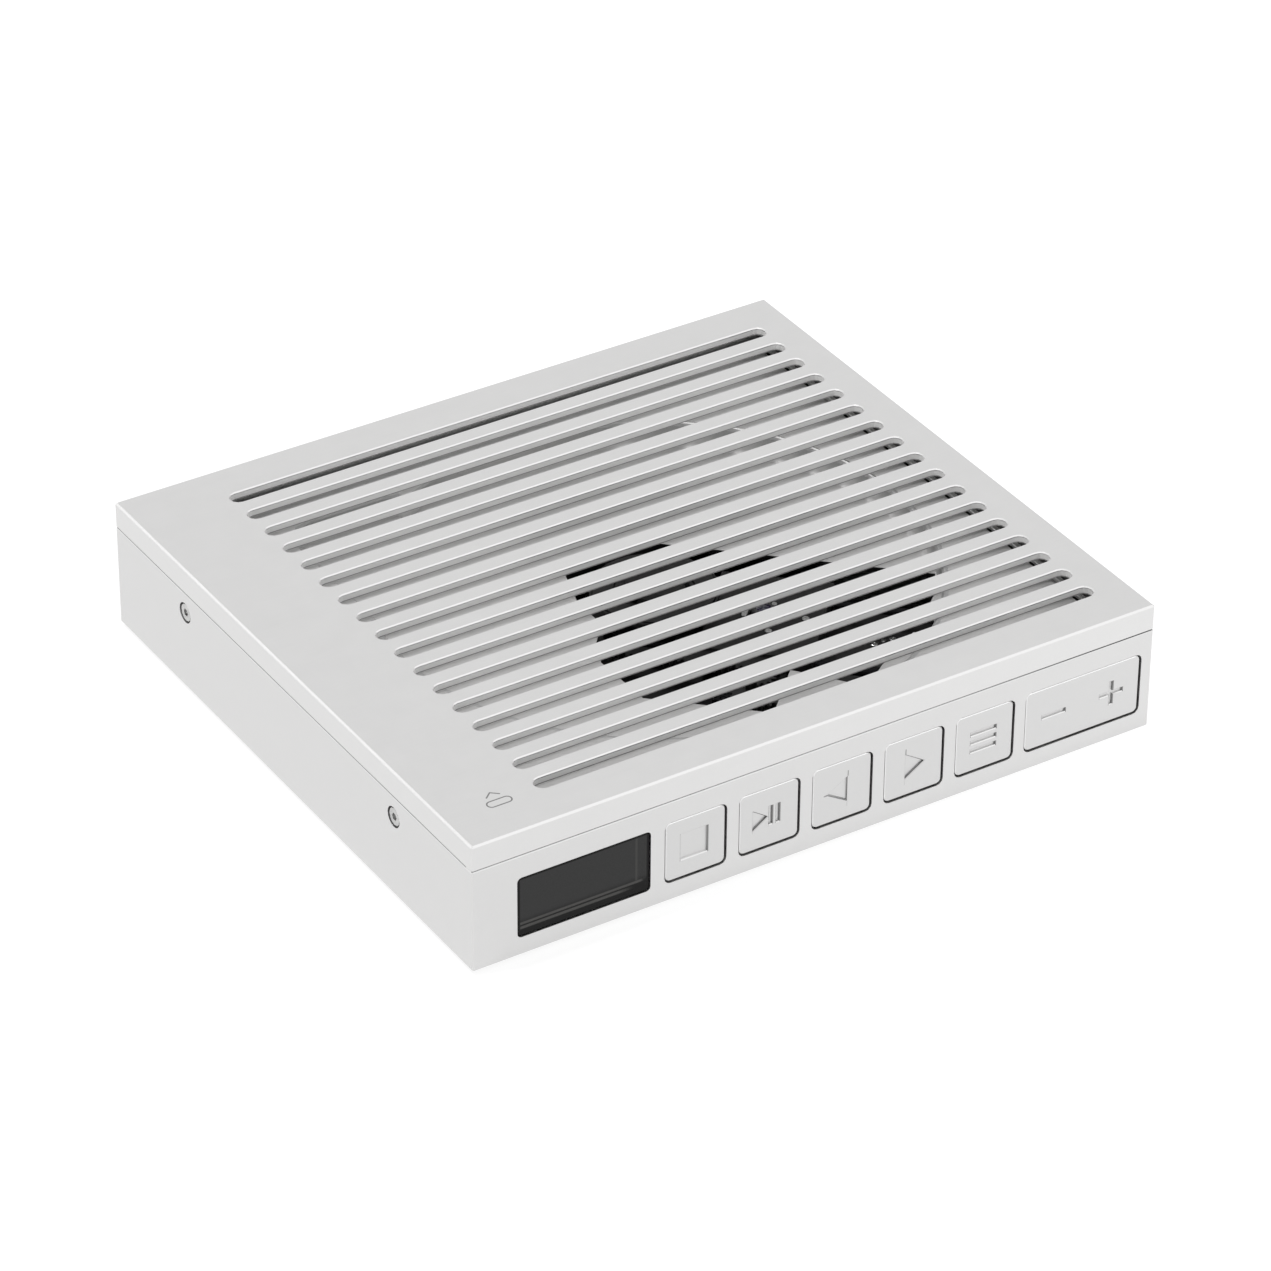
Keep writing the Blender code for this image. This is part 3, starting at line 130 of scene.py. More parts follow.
class Finish:
    # One material under construction, or the surroundings' world
    def __init__(self, name, holder=None):
        self.material = holder or bpy.data.materials.new(name)
        self.material.use_nodes = True
        self.tree = self.material.node_tree
        self.tree.nodes.clear()
        self.split = None

    def node(self, kind, settings=None, values=None, output=0):
        made = self.tree.nodes.new(kind)
        for key, value in (settings or {}).items():
            setattr(made, key, value)
        for key, value in (values or {}).items():
            if isinstance(value, Wire):
                self.tree.links.new(value.socket, made.inputs[key])
            else:
                made.inputs[key].default_value = value
        return Wire(self, made.outputs[output]) if made.outputs else None

    def place(self, scale=None):  # object coordinates in metres, times a scale for each axis
        where = self.node("ShaderNodeTexCoord", output="Object")
        if scale:
            where = self.node("ShaderNodeMapping", values={"Vector": where, "Scale": scale})
        return where

    def axes(self):  # across, along and up, in metres
        if self.split is None:
            self.split = self.node("ShaderNodeSeparateXYZ", values={"Vector": self.place()})
        return self.split, self.split.beside("Y"), self.split.beside("Z")

    def noise(self, scale, detail=2, rough=0.5, where=None):  # around 0.5, with scale waves to the metre
        values = {"Vector": where or self.place(), "Scale": scale, "Detail": detail, "Roughness": rough}
        return self.node("ShaderNodeTexNoise", values=values)

    def step(self, value, low, high):  # a soft step from 0 at low to 1 at high
        values = {"Value": value, "From Min": low, "From Max": high}
        return self.node("ShaderNodeMapRange", {"interpolation_type": "SMOOTHSTEP"}, values)

    def band(self, value, low, lowEnd, highStart, high):  # 0 outside low and high, 1 between the other two
        return self.step(value, low, lowEnd) * (1 - self.step(value, highStart, high))

    def blend(self, share, first, second):  # first where share is 0, second where it is 1
        return self.node("ShaderNodeMix", {"data_type": "RGBA"}, {0: share, 6: first, 7: second}, 2)

    def bump(self, height, strength, distance):
        values = {"Height": height, "Strength": strength, "Distance": distance}
        return self.node("ShaderNodeBump", values=values)

    def done(self, **values):  # values for the surface's sockets, with _ for a space in a name
        named = {key.replace("_", " "): value for key, value in values.items()}
        surface = self.node("ShaderNodeBsdfPrincipled", values=named)
        self.node("ShaderNodeOutputMaterial", values={"Surface": surface})
        return self.material


def grey(level, warmth=0.0):
    return (level * (1 + warmth), level, level * (1 - warmth), 1)


# The case's inside is milled and matt, with painted shade under the lid but for the rear wall above the deck,
# and a painted shadow line on the slots' lower edges. In metres
insideLook = {
    "tone": 0.87,
    "rough": 0.62,
    "metallic": 0.4,
    "lidFrom": 0.0024,  # how far in from the lid's sides its inside begins
    "skirtTo": 0.0034,  # and how far in its skirt ends
    "housingFrom": 0.0029,
    "soft": 0.0002,
    "chamfer": 0.0004,  # the lid's top face and chamfers, which stay bright
    "chamferSoft": 0.0001,
    # painted shadow line along the slots' lower edges, and below it the heights where it holds
    "lip": 0.30,  # tone of the slots' lower edges
    "shadowLineUp": (0.02961, 0.02963, 0.02974, 0.02990),
    # painted shade on the inner walls, and the lighter tone of the rear wall above the deck, which is lit
    "dark": 0.08,
    "rear": 0.62,
    "rearAlong": (0.0709, 0.0711),
    "rearUp": (0.0230, 0.0243),
}


def deepWithin(finish, name, depth):
    # 1 at least so far in from a piece's four outer sides, 0 on them
    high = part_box(name)[1]
    across, along, up = finish.axes()
    outside = (abs(across) - high.x).most(abs(along) - high.y)
    return 1 - finish.step(outside, -depth, -depth + insideLook["soft"])


def paintedWallShade(finish):
    # Painted shade on the inner walls, where little light reaches under the lid, but lighter on the rear one
    # above the deck
    across, along, up = finish.axes()
    rear = finish.step(along, *insideLook["rearAlong"]) * finish.step(up, *insideLook["rearUp"])
    return finish.blend(rear, grey(insideLook["dark"]), grey(insideLook["rear"]))


# The lid's open mark: an etched chevron over a plain rounded bar, in metres on the lid's top
openMark = {
    "chevron": [(-0.07180, -0.06150), (-0.07030, -0.06022), (-0.06880, -0.06150)],
    "bar": [(-0.07200, -0.06390), (-0.06850, -0.06390)],
    "barRadius": 0.0010,
    "line": 0.00016,
    "soft": 0.25,  # share of the line's width over which it fades
    "under": (0.0002, 0.0001),  # it keeps to the last of the lid's height
    "tone": 0.24,
    "rough": 0.15,
}


def segmentDistance(x, y, start, end):
    # Distance to a straight stroke: to the nearest of its points, found along it between 0 and 1
    wayX = end[0] - start[0]
    wayY = end[1] - start[1]
    alongX = x - start[0]
    alongY = y - start[1]
    share = ((alongX * wayX + alongY * wayY) / (wayX**2 + wayY**2)).most(0).least(1)
    offX = alongX - share * wayX
    offY = alongY - share * wayY
    return (offX * offX + offY * offY).root()


def etchedMark(finish, look):
    # 1 on the mark's lines: the chevron's two strokes, and all that is the bar's radius away from its middle
    across, along, up = finish.axes()
    left, tip, right = look["chevron"]
    chevron = segmentDistance(across, along, left, tip).least(segmentDistance(across, along, tip, right))
    bar = abs(segmentDistance(across, along, *look["bar"]) - look["barRadius"])
    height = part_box("lid")[1].z
    top = finish.step(up, *[height - under for under in look["under"]])
    soft = look["soft"]
    line = 1 - finish.step(chevron.least(bar), look["line"] * (1 - soft), look["line"] * (1 + soft))
    return line * top


def lidPlaces(finish, look, colour, rough):
    # Over the bright outside: the milled inner faces and slot walls, a painted shadow line on the slots'
    # lower edges, painted shade on the inside of the skirt, and the mark
    up = finish.axes()[2]
    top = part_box("lid")[1].z - insideLook["chamfer"]
    below = 1 - finish.step(up, top - insideLook["chamferSoft"], top)
    inside = deepWithin(finish, "lid", insideLook["lidFrom"]) * below
    skirt = inside - deepWithin(finish, "lid", insideLook["skirtTo"]) * inside
    # painted shadow line along the slots' lower edges
    lip = inside * finish.band(up, *insideLook["shadowLineUp"])
    etched = etchedMark(finish, openMark)
    colour = finish.blend(inside, colour, grey(insideLook["tone"], look["warmth"]))
    colour = finish.blend(lip, colour, grey(insideLook["lip"]))
    # painted shade on the skirt's inside
    colour = finish.blend(skirt, colour, paintedWallShade(finish))
    colour = finish.blend(etched, colour, grey(openMark["tone"]))
    rough = rough + inside * (insideLook["rough"] - look["rough"]) + etched * openMark["rough"]
    return colour, rough, 1 - inside * (1 - insideLook["metallic"])


# The seam under the lid is a ledge on the housing's top, painted dark as the seam's shadow line, less so on
# the left of the front. Its tones, and where they hold, in metres
paintedSeamShade = {
    "up": (0.02510, 0.02516, 0.02545, 0.02548),
    "left": 0.62,
    "right": 0.12,
    "across": (0.02, 0.08),  # on the front it goes from the left tone to the right one
    "sides": 0.20,
    "along": (-0.0722, -0.0718),  # the front's ledge ends here
}


def housingPlaces(finish, look, colour, rough):
    # Painted shade on the seam's ledge and then on the walls' inner faces
    across, along, up = finish.axes()
    left, right, sides = (grey(paintedSeamShade[key]) for key in ("left", "right", "sides"))
    front = finish.blend(finish.step(across, *paintedSeamShade["across"]), left, right)
    ledge = finish.blend(finish.step(along, *paintedSeamShade["along"]), front, sides)
    within = deepWithin(finish, "housing_shell", insideLook["housingFrom"])
    # painted shadow line on the seam's ledge, then painted shade on the inner walls
    colour = finish.blend(finish.band(up, *paintedSeamShade["up"]), colour, ledge)
    colour = finish.blend(within, colour, paintedWallShade(finish))
    return colour, rough, 1 - within * (1 - insideLook["metallic"])


# The disc well: painted shade on its walls, darker towards the top under the rim, and painted black shade
# below its floor, on its openings' walls; the sloped rim and the cove are made further down. In millimetres
wellLook = {
    "middle": (7.0, 0.6),
    "shade": 0.50,
    "shadeUp": (19.2, 23.0, 23.44, 23.48),
    "openings": 0.012,
    "openingsUp": (17.80, 17.84),
    "rim": [(61.72, 23.45), (62.55, 23.45), (62.55, 23.502), (62.18, 23.564), (61.72, 23.52)],
    "wall": 61.2,
    "floor": 17.9,
    "cove": 1.3,
    "skin": 0.05,  # how far the cove reaches into the wall and the floor
    "turns": 181,
    "arc": (-195.0, 103.0),  # the rest of the round is open to the finger recess
    "coveArcs": [(-195.0, -50.0), (-20.0, 103.0)],  # between them the lens comes out to the wall
}


def deckPlaces(finish, look, colour, rough):
    # By height alone: painted shade on the well's walls, and painted black shade below its floor
    up = finish.axes()[2] / mm
    colour = finish.blend(finish.band(up, *wellLook["shadeUp"]), colour, grey(wellLook["shade"]))
    below = 1 - finish.step(up, *wellLook["openingsUp"])
    return finish.blend(below, colour, grey(wellLook["openings"])), rough, look["metallic"]


# Painted shade and painted highlights on the keys' faces, from each face's number: above 0 they darken it as
# shade, below 0 they make it paler as a highlight
keyShadeLook = {"darken": 0.72, "dark": 0.10, "pale": 0.97}


def keyPlaces(finish, look, colour, rough):
    # Painted shade where the number is above 0, then painted highlights where it is below 0, each as a share
    # of a plain tone
    shadeAndLight = finish.node("ShaderNodeAttribute", {"attribute_name": "cutterMarks"}, output="Fac")
    colour = finish.blend(shadeAndLight.most(0) * keyShadeLook["darken"], colour, grey(keyShadeLook["dark"]))
    return finish.blend((shadeAndLight * -1).most(0), colour, grey(keyShadeLook["pale"])), rough, 1.0


# Aluminium: bead-blasted grain, faint clouds and long fine brushing
metalLooks = {
    "lid_metal": {
        "tone": 0.705, "warmth": 0.004, "rough": 0.36, "bump": 0.12,
        "cloud": 0.07, "grain": 0.08, "brush": 0.05,
    },
    "housing_metal": {
        "tone": 0.675, "warmth": 0.004, "rough": 0.38, "bump": 0.14,
        "cloud": 0.07, "grain": 0.09, "brush": 0.02,
    },
    "key_metal": {
        "tone": 0.635, "warmth": 0.003, "rough": 0.34, "bump": 0.12,
        "cloud": 0.04, "grain": 0.08, "brush": 0.0,
    },
    "deck_metal": {
        "tone": 0.64, "warmth": 0.006, "rough": 0.60, "bump": 0.14,
        "cloud": 0.08, "grain": 0.10, "brush": 0.0, "metallic": 0.4,
    },
    "base_metal": {
        "tone": 0.64, "warmth": 0.004, "rough": 0.42, "bump": 0.12,
        "cloud": 0.07, "grain": 0.08, "brush": 0.0,
    },
}
blastLook = {
    "grain": 5200,
    "cloud": 160,
    "brush": (60, 6000, 6000),  # long strokes across the case
    "reach": 0.1,  # the tone's own range, which covers the spread
    "spread": 0.05,
    "grainRough": 0.16,
    "cloudRough": 0.12,
    "grainHeight": 0.7,
    "brushHeight": 0.3,
    "depth": 0.00003,
}
metalPlaces = {
    "lid_metal": lidPlaces,
    "housing_metal": housingPlaces,
    "deck_metal": deckPlaces,
    "key_metal": keyPlaces,
}


def aluminium(slot, look):
    # The three patterns, each about 0, are added up and make a share between a darker and a paler grey
    finish = Finish(slot + "_finish")
    grain = finish.noise(blastLook["grain"], 2, 0.6)
    cloud = finish.noise(blastLook["cloud"], 4, 0.6)
    brush = finish.noise(1, 3, 0.6, finish.place(blastLook["brush"]))
    tone = (cloud - 0.5) * look["cloud"] + (grain - 0.5) * look["grain"] + (brush - 0.5) * look["brush"]
    low = grey(look["tone"] * (1 - blastLook["spread"]), look["warmth"])
    high = grey(look["tone"] * (1 + blastLook["spread"]), look["warmth"])
    colour = finish.blend(finish.step(tone, -blastLook["reach"], blastLook["reach"]), low, high)
    rough = look["rough"] + (grain - 0.5) * blastLook["grainRough"] + (cloud - 0.5) * blastLook["cloudRough"]
    metallic = 1.0
    if slot in metalPlaces:
        colour, rough, metallic = metalPlaces[slot](finish, look, colour, rough)
    height = grain * blastLook["grainHeight"] + brush * blastLook["brushHeight"]
    normal = finish.bump(height, look["bump"], blastLook["depth"])
    return finish.done(Base_Color=colour, Metallic=metallic, Roughness=rough, Normal=normal)


# Plain steels and brass: turning marks or plating, with a little tarnish
steelLooks = {
    "steel": {
        "tone": (0.56, 0.56, 0.57, 1), "dark": (0.40, 0.40, 0.41, 1), "rough": 0.26, "scale": 2500,
    },
    "screw_steel": {
        "tone": (0.62, 0.62, 0.61, 1), "dark": (0.42, 0.42, 0.42, 1), "rough": 0.30, "scale": 3200,
    },
    "magnet_nickel": {
        "tone": (0.66, 0.64, 0.60, 1), "dark": (0.50, 0.48, 0.45, 1), "rough": 0.18, "scale": 1500,
    },
    "pinion_brass": {
        "tone": (0.13, 0.10, 0.05, 1), "dark": (0.07, 0.05, 0.03, 1), "rough": 0.36, "scale": 2600,
    },
    "polished_rim": {
        "tone": (0.96, 0.96, 0.95, 1), "dark": (0.92, 0.92, 0.91, 1), "rough": 0.22, "scale": 1800,
        # Painted highlight: in metres, darker and dull in front of the first place, bright and polished
        # behind the second, and so from left to right, where the rim's highlights show
        "polishAlong": (0.003, 0.012), "polishAcross": (0.030, 0.046), "dullTone": 0.60, "dullRough": 0.3,
    },
    # Painted highlight: near white, far paler than the case's aluminium; on the side ledges
    "bright_rim": {
        "tone": (0.96, 0.96, 0.95, 1), "dark": (0.90, 0.90, 0.89, 1), "rough": 0.30, "scale": 1800,
        "metallic": 0.35,
    },
    # Painted shade: near black, for the mechanism's steel parts that lie in the case's shade
    "rail_steel": {
        "tone": (0.030, 0.030, 0.032, 1), "dark": (0.016, 0.016, 0.018, 1), "rough": 0.72, "scale": 2600,
    },
}
turnedLook = {"coarser": 8, "share": (0.3, 0.7), "spread": 0.2, "bump": 0.12, "depth": 0.00003}


def turnedMetal(slot, look):
    # A fine and a coarse pattern in equal parts make the share between the dark and the bright tone
    finish = Finish(slot + "_finish")
    fine = finish.noise(look["scale"], 3, 0.6)
    cloud = finish.noise(look["scale"] / turnedLook["coarser"], 3, 0.6)
    share = finish.step(fine * 0.5 + cloud * 0.5, *turnedLook["share"])
    colour = finish.blend(share, look["dark"], look["tone"])
    rough = look["rough"] + (fine - 0.5) * turnedLook["spread"]
    # Painted highlight: the rim keeps its bright tone only behind and to the right, and is darker and rougher
    # elsewhere
    if "polishAlong" in look:
        across, along, up = finish.axes()
        dull = 1 - finish.step(along, *look["polishAlong"]) * finish.step(across, *look["polishAcross"])
        colour = finish.blend(dull, colour, grey(look["dullTone"]))
        rough = rough + dull * look["dullRough"]
    normal = finish.bump(fine, turnedLook["bump"], turnedLook["depth"])
    return finish.done(Base_Color=colour, Metallic=look.get("metallic", 1.0), Roughness=rough, Normal=normal)


# Moulded parts: fine spark texture, a little mottling and handling shine
mouldedLooks = {
    "black_plastic": {
        "tone": (0.005, 0.005, 0.005, 1), "pale": (0.012, 0.012, 0.012, 1), "rough": 0.62, "scale": 3500,
    },
    "gear_plastic": {
        "tone": (0.010, 0.010, 0.010, 1), "pale": (0.022, 0.022, 0.021, 1), "rough": 0.50, "scale": 2500,
    },
    "rubber": {
        "tone": (0.006, 0.006, 0.006, 1), "pale": (0.016, 0.016, 0.016, 1), "rough": 0.78, "scale": 4500,
    },
}
mouldLook = {
    "coarser": 14,
    "spark": 0.6,
    "share": (0.35, 0.65),
    "cloudRough": 0.2,
    "sparkRough": 0.1,
    "bump": 0.2,
    "depth": 0.00004,
}


def moulded(slot, look):
    # The spark texture and the clouds, in their shares, lead from the tone to the pale one
    finish = Finish(slot + "_finish")
    spark = finish.noise(look["scale"], 2, 0.6)
    cloud = finish.noise(look["scale"] / mouldLook["coarser"], 3, 0.6)
    mottle = spark * mouldLook["spark"] + cloud * (1 - mouldLook["spark"])
    colour = finish.blend(finish.step(mottle, *mouldLook["share"]), look["tone"], look["pale"])
    rough = look["rough"] + (cloud - 0.5) * mouldLook["cloudRough"] + (spark - 0.5) * mouldLook["sparkRough"]
    normal = finish.bump(spark, mouldLook["bump"], mouldLook["depth"])
    return finish.done(Base_Color=colour, Roughness=rough, Normal=normal)


# Green mask over stepped copper tracks, with tinned pads
boardLook = {
    "mask": (0.010, 0.075, 0.030, 1),
    "track": (0.018, 0.120, 0.048, 1),
    "tin": (0.62, 0.60, 0.56, 1),
    "lanes": 900,  # tracks to the metre
    "wander": 90,
    "wanderSteps": 9,
    "trackEdge": (0.30, 0.34),
    "trackPatch": 140,
    "trackPatchEdge": (0.44, 0.47),
    "pitch": 0.00254,
    "padEdge": (0.16, 0.18),
    "padPatch": 60,
    "padPatchEdge": (0.55, 0.57),
    "rough": 0.34,
    "grain": 1800,
    "grainRough": 0.12,
    "bump": 0.25,
    "depth": 0.00006,
}


def circuitBoard(name, look):
    # Tracks lie where the lane's own 0 to 1, shifted in steps by a slow noise, is far from its middle, and
    # square pads round each crossing of the pitch, both in patches
    finish = Finish(name)
    across, along, up = finish.axes()
    wander = finish.noise(look["wander"], 1, 0.4)
    lane = (along * look["lanes"] + (wander * look["wanderSteps"]).snapped(1.0)) % 1
    track = finish.step(abs(lane - 0.5), *look["trackEdge"])
    copper = track * finish.step(finish.noise(look["trackPatch"], 1, 0.4), *look["trackPatchEdge"])
    spotAcross = abs((across / look["pitch"]) % 1 - 0.5)
    spotAlong = abs((along / look["pitch"]) % 1 - 0.5)
    spot = 1 - finish.step(spotAcross.most(spotAlong), *look["padEdge"])
    pad = spot * finish.step(finish.noise(look["padPatch"], 0, 0.5), *look["padPatchEdge"])
    colour = finish.blend(pad, finish.blend(copper, look["mask"], look["track"]), look["tin"])
    rough = look["rough"] + (finish.noise(look["grain"], 2, 0.5) - 0.5) * look["grainRough"]
    normal = finish.bump(copper + pad, look["bump"], look["depth"])
    return finish.done(Base_Color=colour, Metallic=pad, Roughness=rough, Normal=normal)


# Shrunk film over a flat cell: broad soft creases and a fine sheen
wrapLook = {
    "dark": (0.015, 0.030, 0.060, 1),
    "pale": (0.022, 0.045, 0.085, 1),
    "crease": 120,
    "share": (0.35, 0.65),
    "fine": 1500,
    "rough": 0.30,
    "fineRough": 0.16,
    "bump": 0.5,
    "depth": 0.0004,
}


def batteryWrap(name, look):
    # The creases both tint and raise the film
    finish = Finish(name)
    crease = finish.noise(look["crease"], 4, 0.6)
    fine = finish.noise(look["fine"], 2, 0.5)
    colour = finish.blend(finish.step(crease, *look["share"]), look["dark"], look["pale"])
    rough = look["rough"] + (fine - 0.5) * look["fineRough"]
    normal = finish.bump(crease, look["bump"], look["depth"])
    return finish.done(Base_Color=colour, Roughness=rough, Normal=normal)


# Smoked glass: a black edge painted as the shadow of the gap round the glass, the unlit panel, and the
# panel's own edges as faint pale lines. A line is given by shares of the glass from its left or its top: its
# middle and half its width, then its faded end
windowLook = {
    "glow": (0.0344, 0.0344, 0.0344, 1),
    "line": (0.070, 0.069, 0.066, 1),
    "black": (0.002, 0.002, 0.002, 1),
    "upper": [(0.80, 0.030), (0.93, 0.97)],
    "lower": [(0.872, 0.034), (0.74, 0.90)],
    "side": [(0.905, 0.012), (0.76, 0.80)],
    "sideShare": 0.55,
    "soft": 0.4,
    "below": (0.68, 0.86),  # the panel darkens here
    # painted shadow of the gap round the glass
    "edge": (-0.0006, -0.0004),  # in metres from the glass's own edge
    "mottle": 2600,
    "mottleEdge": (0.3, 0.7),
    "mottleShare": 0.1,
    "smear": 900,
    "smearRough": 0.04,
    "rough": 0.07,
    "bend": 1.25,
}


def windowGlass(name, look):
    # Everything is worked out from the shares to the right and down, and the painted shadow at the edge from
    # the distance to it
    finish = Finish(name)
    low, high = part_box("display_glass")
    across, along, up = finish.axes()
    right = (across - low.x) / (high.x - low.x)
    down = (high.z - up) / (high.z - low.z)

    def line(place, way, parts):  # 1 in the middle of a line at that place, which fades out on its way
        (middle, half), end = parts
        width = 1 - finish.step(abs(place - middle), half * look["soft"], half)
        return width * (1 - finish.step(way, *end))

    mottle = finish.step(finish.noise(look["mottle"], 2, 0.6), *look["mottleEdge"]) * look["mottleShare"]
    panel = finish.blend(mottle, look["glow"], look["black"])
    panel = finish.blend(finish.step(down, *look["below"]), panel, look["black"])
    lines = line(down, right, look["upper"]).most(line(down, right, look["lower"]))
    lines = lines.most(line(right, down, look["side"]) * look["sideShare"])
    panel = finish.blend(lines, panel, look["line"])
    nearSide = abs(across - (low.x + high.x) / 2) - (high.x - low.x) / 2
    nearTop = abs(up - (low.z + high.z) / 2) - (high.z - low.z) / 2
    # painted shade: the gap's shadow along the glass's edge
    colour = finish.blend(finish.step(nearSide.most(nearTop), *look["edge"]), panel, look["black"])
    rough = look["rough"] + finish.noise(look["smear"], 3, 0.6) * look["smearRough"]
    return finish.done(Base_Color=colour, Roughness=rough, IOR=look["bend"])


# Blue-violet coated lens in its dark cell. Edges are shares of the cell's radius
lensLook = {
    "radius": 0.0026,
    "middle": (0.010, 0.014, 0.030, 1),
    "outer": (0.028, 0.020, 0.050, 1),
    "tintEdge": (0.0, 0.6),
    "cell": (0.02, 0.02, 0.021, 1),
    "cellEdge": (0.60, 0.66),
    "cellRough": 0.5,
    "glassRough": 0.04,
    "bend": 1.6,
}


def lensGlass(name, look):
    # Worked out from the distance to the lens's axis
    finish = Finish(name)
    low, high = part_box("objective_lens")
    across, along, up = finish.axes()
    x = across - (low.x + high.x) / 2
    y = along - (low.y + high.y) / 2
    reach = (x * x + y * y).root() / look["radius"]
    inside = 1 - finish.step(reach, *look["cellEdge"])
    tint = finish.blend(finish.step(reach, *look["tintEdge"]), look["middle"], look["outer"])
    colour = finish.blend(inside, look["cell"], tint)
    rough = look["cellRough"] - inside * (look["cellRough"] - look["glassRough"])
    return finish.done(Base_Color=colour, Roughness=rough, IOR=look["bend"])


finishes = {}
for slot, look in metalLooks.items():
    finishes[slot] = aluminium(slot, look)
for slot, look in steelLooks.items():
    finishes[slot] = turnedMetal(slot, look)
for slot, look in mouldedLooks.items():
    finishes[slot] = moulded(slot, look)
finishes["circuit_board"] = circuitBoard("circuit_board_finish", boardLook)
finishes["battery_wrap"] = batteryWrap("battery_wrap_finish", wrapLook)
finishes["window_glass"] = windowGlass("window_glass_finish", windowLook)
finishes["display"] = finishes["black_plastic"]
finishes["lens_glass"] = lensGlass("lens_glass_finish", lensLook)

# Painted shade: these steel parts lie in the case's shade and get the near black rail steel
darkInShade = ["main_rail", "support_rail", "sled_motor", "motor_pinion", "spindle_motor"]
darkInShade += ["clamp_ball_1", "clamp_ball_2", "clamp_ball_3"]
for name, node in nodes.items():
    for place in node.material_slots:
        if name in darkInShade:
            place.material = finishes["rail_steel"]
            continue
        found = [slot for slot in finishes if place.material and place.material.name.startswith(slot)]
        if not found:
            raise SystemExit("no finish for " + name)
        place.material = finishes[max(found, key=len)]
print("finishes given to the CAD nodes")


# Surfaces

def gridQuads(rows, columns, closed=False):
    # Quads between neighbouring points of a grid that is stored row by row
    row = np.arange(rows - 1)[:, None]
    column = np.arange(columns if closed else columns - 1)[None, :]
    after = (column + 1) % columns
    a = row * columns + column
    b = row * columns + after
    return np.stack([a, b, b + columns, a + columns], -1).reshape(-1, 4)


def endCaps(count, total):
    # The first ring of a form as one face turned over, and its last ring as one face
    return [list(range(count))[::-1], list(range(total - count, total))]


def makePiece(name, parts, finish, body, sharp=0.6):
    # parts are (points, faces) pairs; their faces are counted on from one another. Edges that bend by more
    # than the sharp angle, in radians, stay crisp
    points = np.concatenate([part[0] for part in parts])
    faces = []
    start = 0
    for part in parts:
        for group in part[1]:
            faces += (np.asarray(group) + start).tolist()
        start += len(part[0])
    mesh = bpy.data.meshes.new(name)
    mesh.from_pydata(points.tolist(), [], faces)
    mesh.polygons.foreach_set("use_smooth", np.ones(len(mesh.polygons), bool))
    mesh.set_sharp_from_angle(angle=sharp)
    mesh.materials.append(finish)
    mesh.update()
    piece = bpy.data.objects.new(name, mesh)
    scene.collection.objects.link(piece)
    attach(piece, body)
    return piece


def turnedForm(profile, place, axis=(0, 0, 1), sides=24):
    # A profile of (reach, height) pairs carried round an axis through the place, in millimetres:
    # point = place + axis times height + turning direction times reach. Both ends are closed
    axis = np.array(axis, float)
    first = np.cross(axis, (0, 1, 0) if abs(axis[1]) < 0.9 else (1, 0, 0))
    second = np.cross(axis, first)
    turn = np.linspace(0, 2 * np.pi, sides, endpoint=False)[None, :, None]
    reach = np.array([pair[0] for pair in profile])[:, None, None]
    height = np.array([pair[1] for pair in profile])[:, None, None]
    around = np.cos(turn) * first + np.sin(turn) * second
    points = (np.array(place, float) + height * axis + reach * around).reshape(-1, 3)
    return points * mm, [gridQuads(len(profile), sides, True), endCaps(sides, len(points))]


def bar(low, high):
    # The four corners of an upright or level bar
    return [(low[0], low[1]), (high[0], low[1]), (high[0], high[1]), (low[0], high[1])]


# Each symbol's outlines as x, z corners in the part's own millimetres, counter-clockwise from the front
symbols = {
    "stop_button": [bar((-34.0, 9.85), (-27.6, 16.1))],
    "play_pause_button": [
        [(-16.6, 10.5), (-13.2, 12.8), (-16.6, 15.1)],
        bar((-12.75, 10.75), (-11.95, 15.2)),
        bar((-11.0, 10.75), (-10.2, 15.2)),
    ],
    "back_button": [[(6.4, 9.8), (6.4, 15.6), (1.6, 12.7)]],
    "forward_button": [[(20.8, 9.8), (25.3, 12.7), (20.8, 15.6)]],
    "menu_button": [bar((37.1, z - 0.4), (43.4, z + 0.4)) for z in (10.65, 12.75, 14.85)],
    "volume_rocker": [
        bar((55.2, 12.3), (61.1, 13.1)),
        bar((70.0, 12.3), (75.8, 13.1)),
        bar((72.5, 9.9), (73.3, 15.5)),
    ],
}
keyBodies = {
    "stop_button": "stop_key",
    "play_pause_button": "play_pause_key",
    "back_button": "back_key",
    "forward_button": "forward_key",
    "menu_button": "menu_key",
    "volume_rocker": "volume_key",
}

# Keys with engraved faces. Distances in millimetres
keyLook = {
    "front": -74.28,
    "edge": 0.15,
    "corner": 1.2,
    "gap": 0.3,
    "extraGap": 0.07,
    "flangeFront": -71.2,
    "flangeBack": -70.4,
    "flangeCorner": 1.5,
    "flangeLip": 0.8,
    "rockerInset": 1.2,  # the rocker's flange is shorter than its cap
    "nubEnd": -69.4,
    "nubRadius": 1.5,
    "nubEdge": 0.1,
    "rockerNubs": (-9.0, 9.0),
    "depth": 0.5,
    "wall": 0.05,
    "rim": 0.18,
    "grid": 0.06,
    "arcLines": 7,
    "flatLines": 9,
    "leastGap": 0.012,
    # Painted shade and highlights on the faces whose depths differ by more than the flat share of a symbol's
    # depth: walls facing left darkest, lower walls and the face's edge pale
    "flat": 0.05,
    "lipRise": 0.5,  # a rim's face rises by less than this share
    "lipShade": 0.9,
    "rightShade": 3.0,
    "lowerLight": -0.4,
    "otherShade": 0.3,
    "edgeLight": -0.9,
}


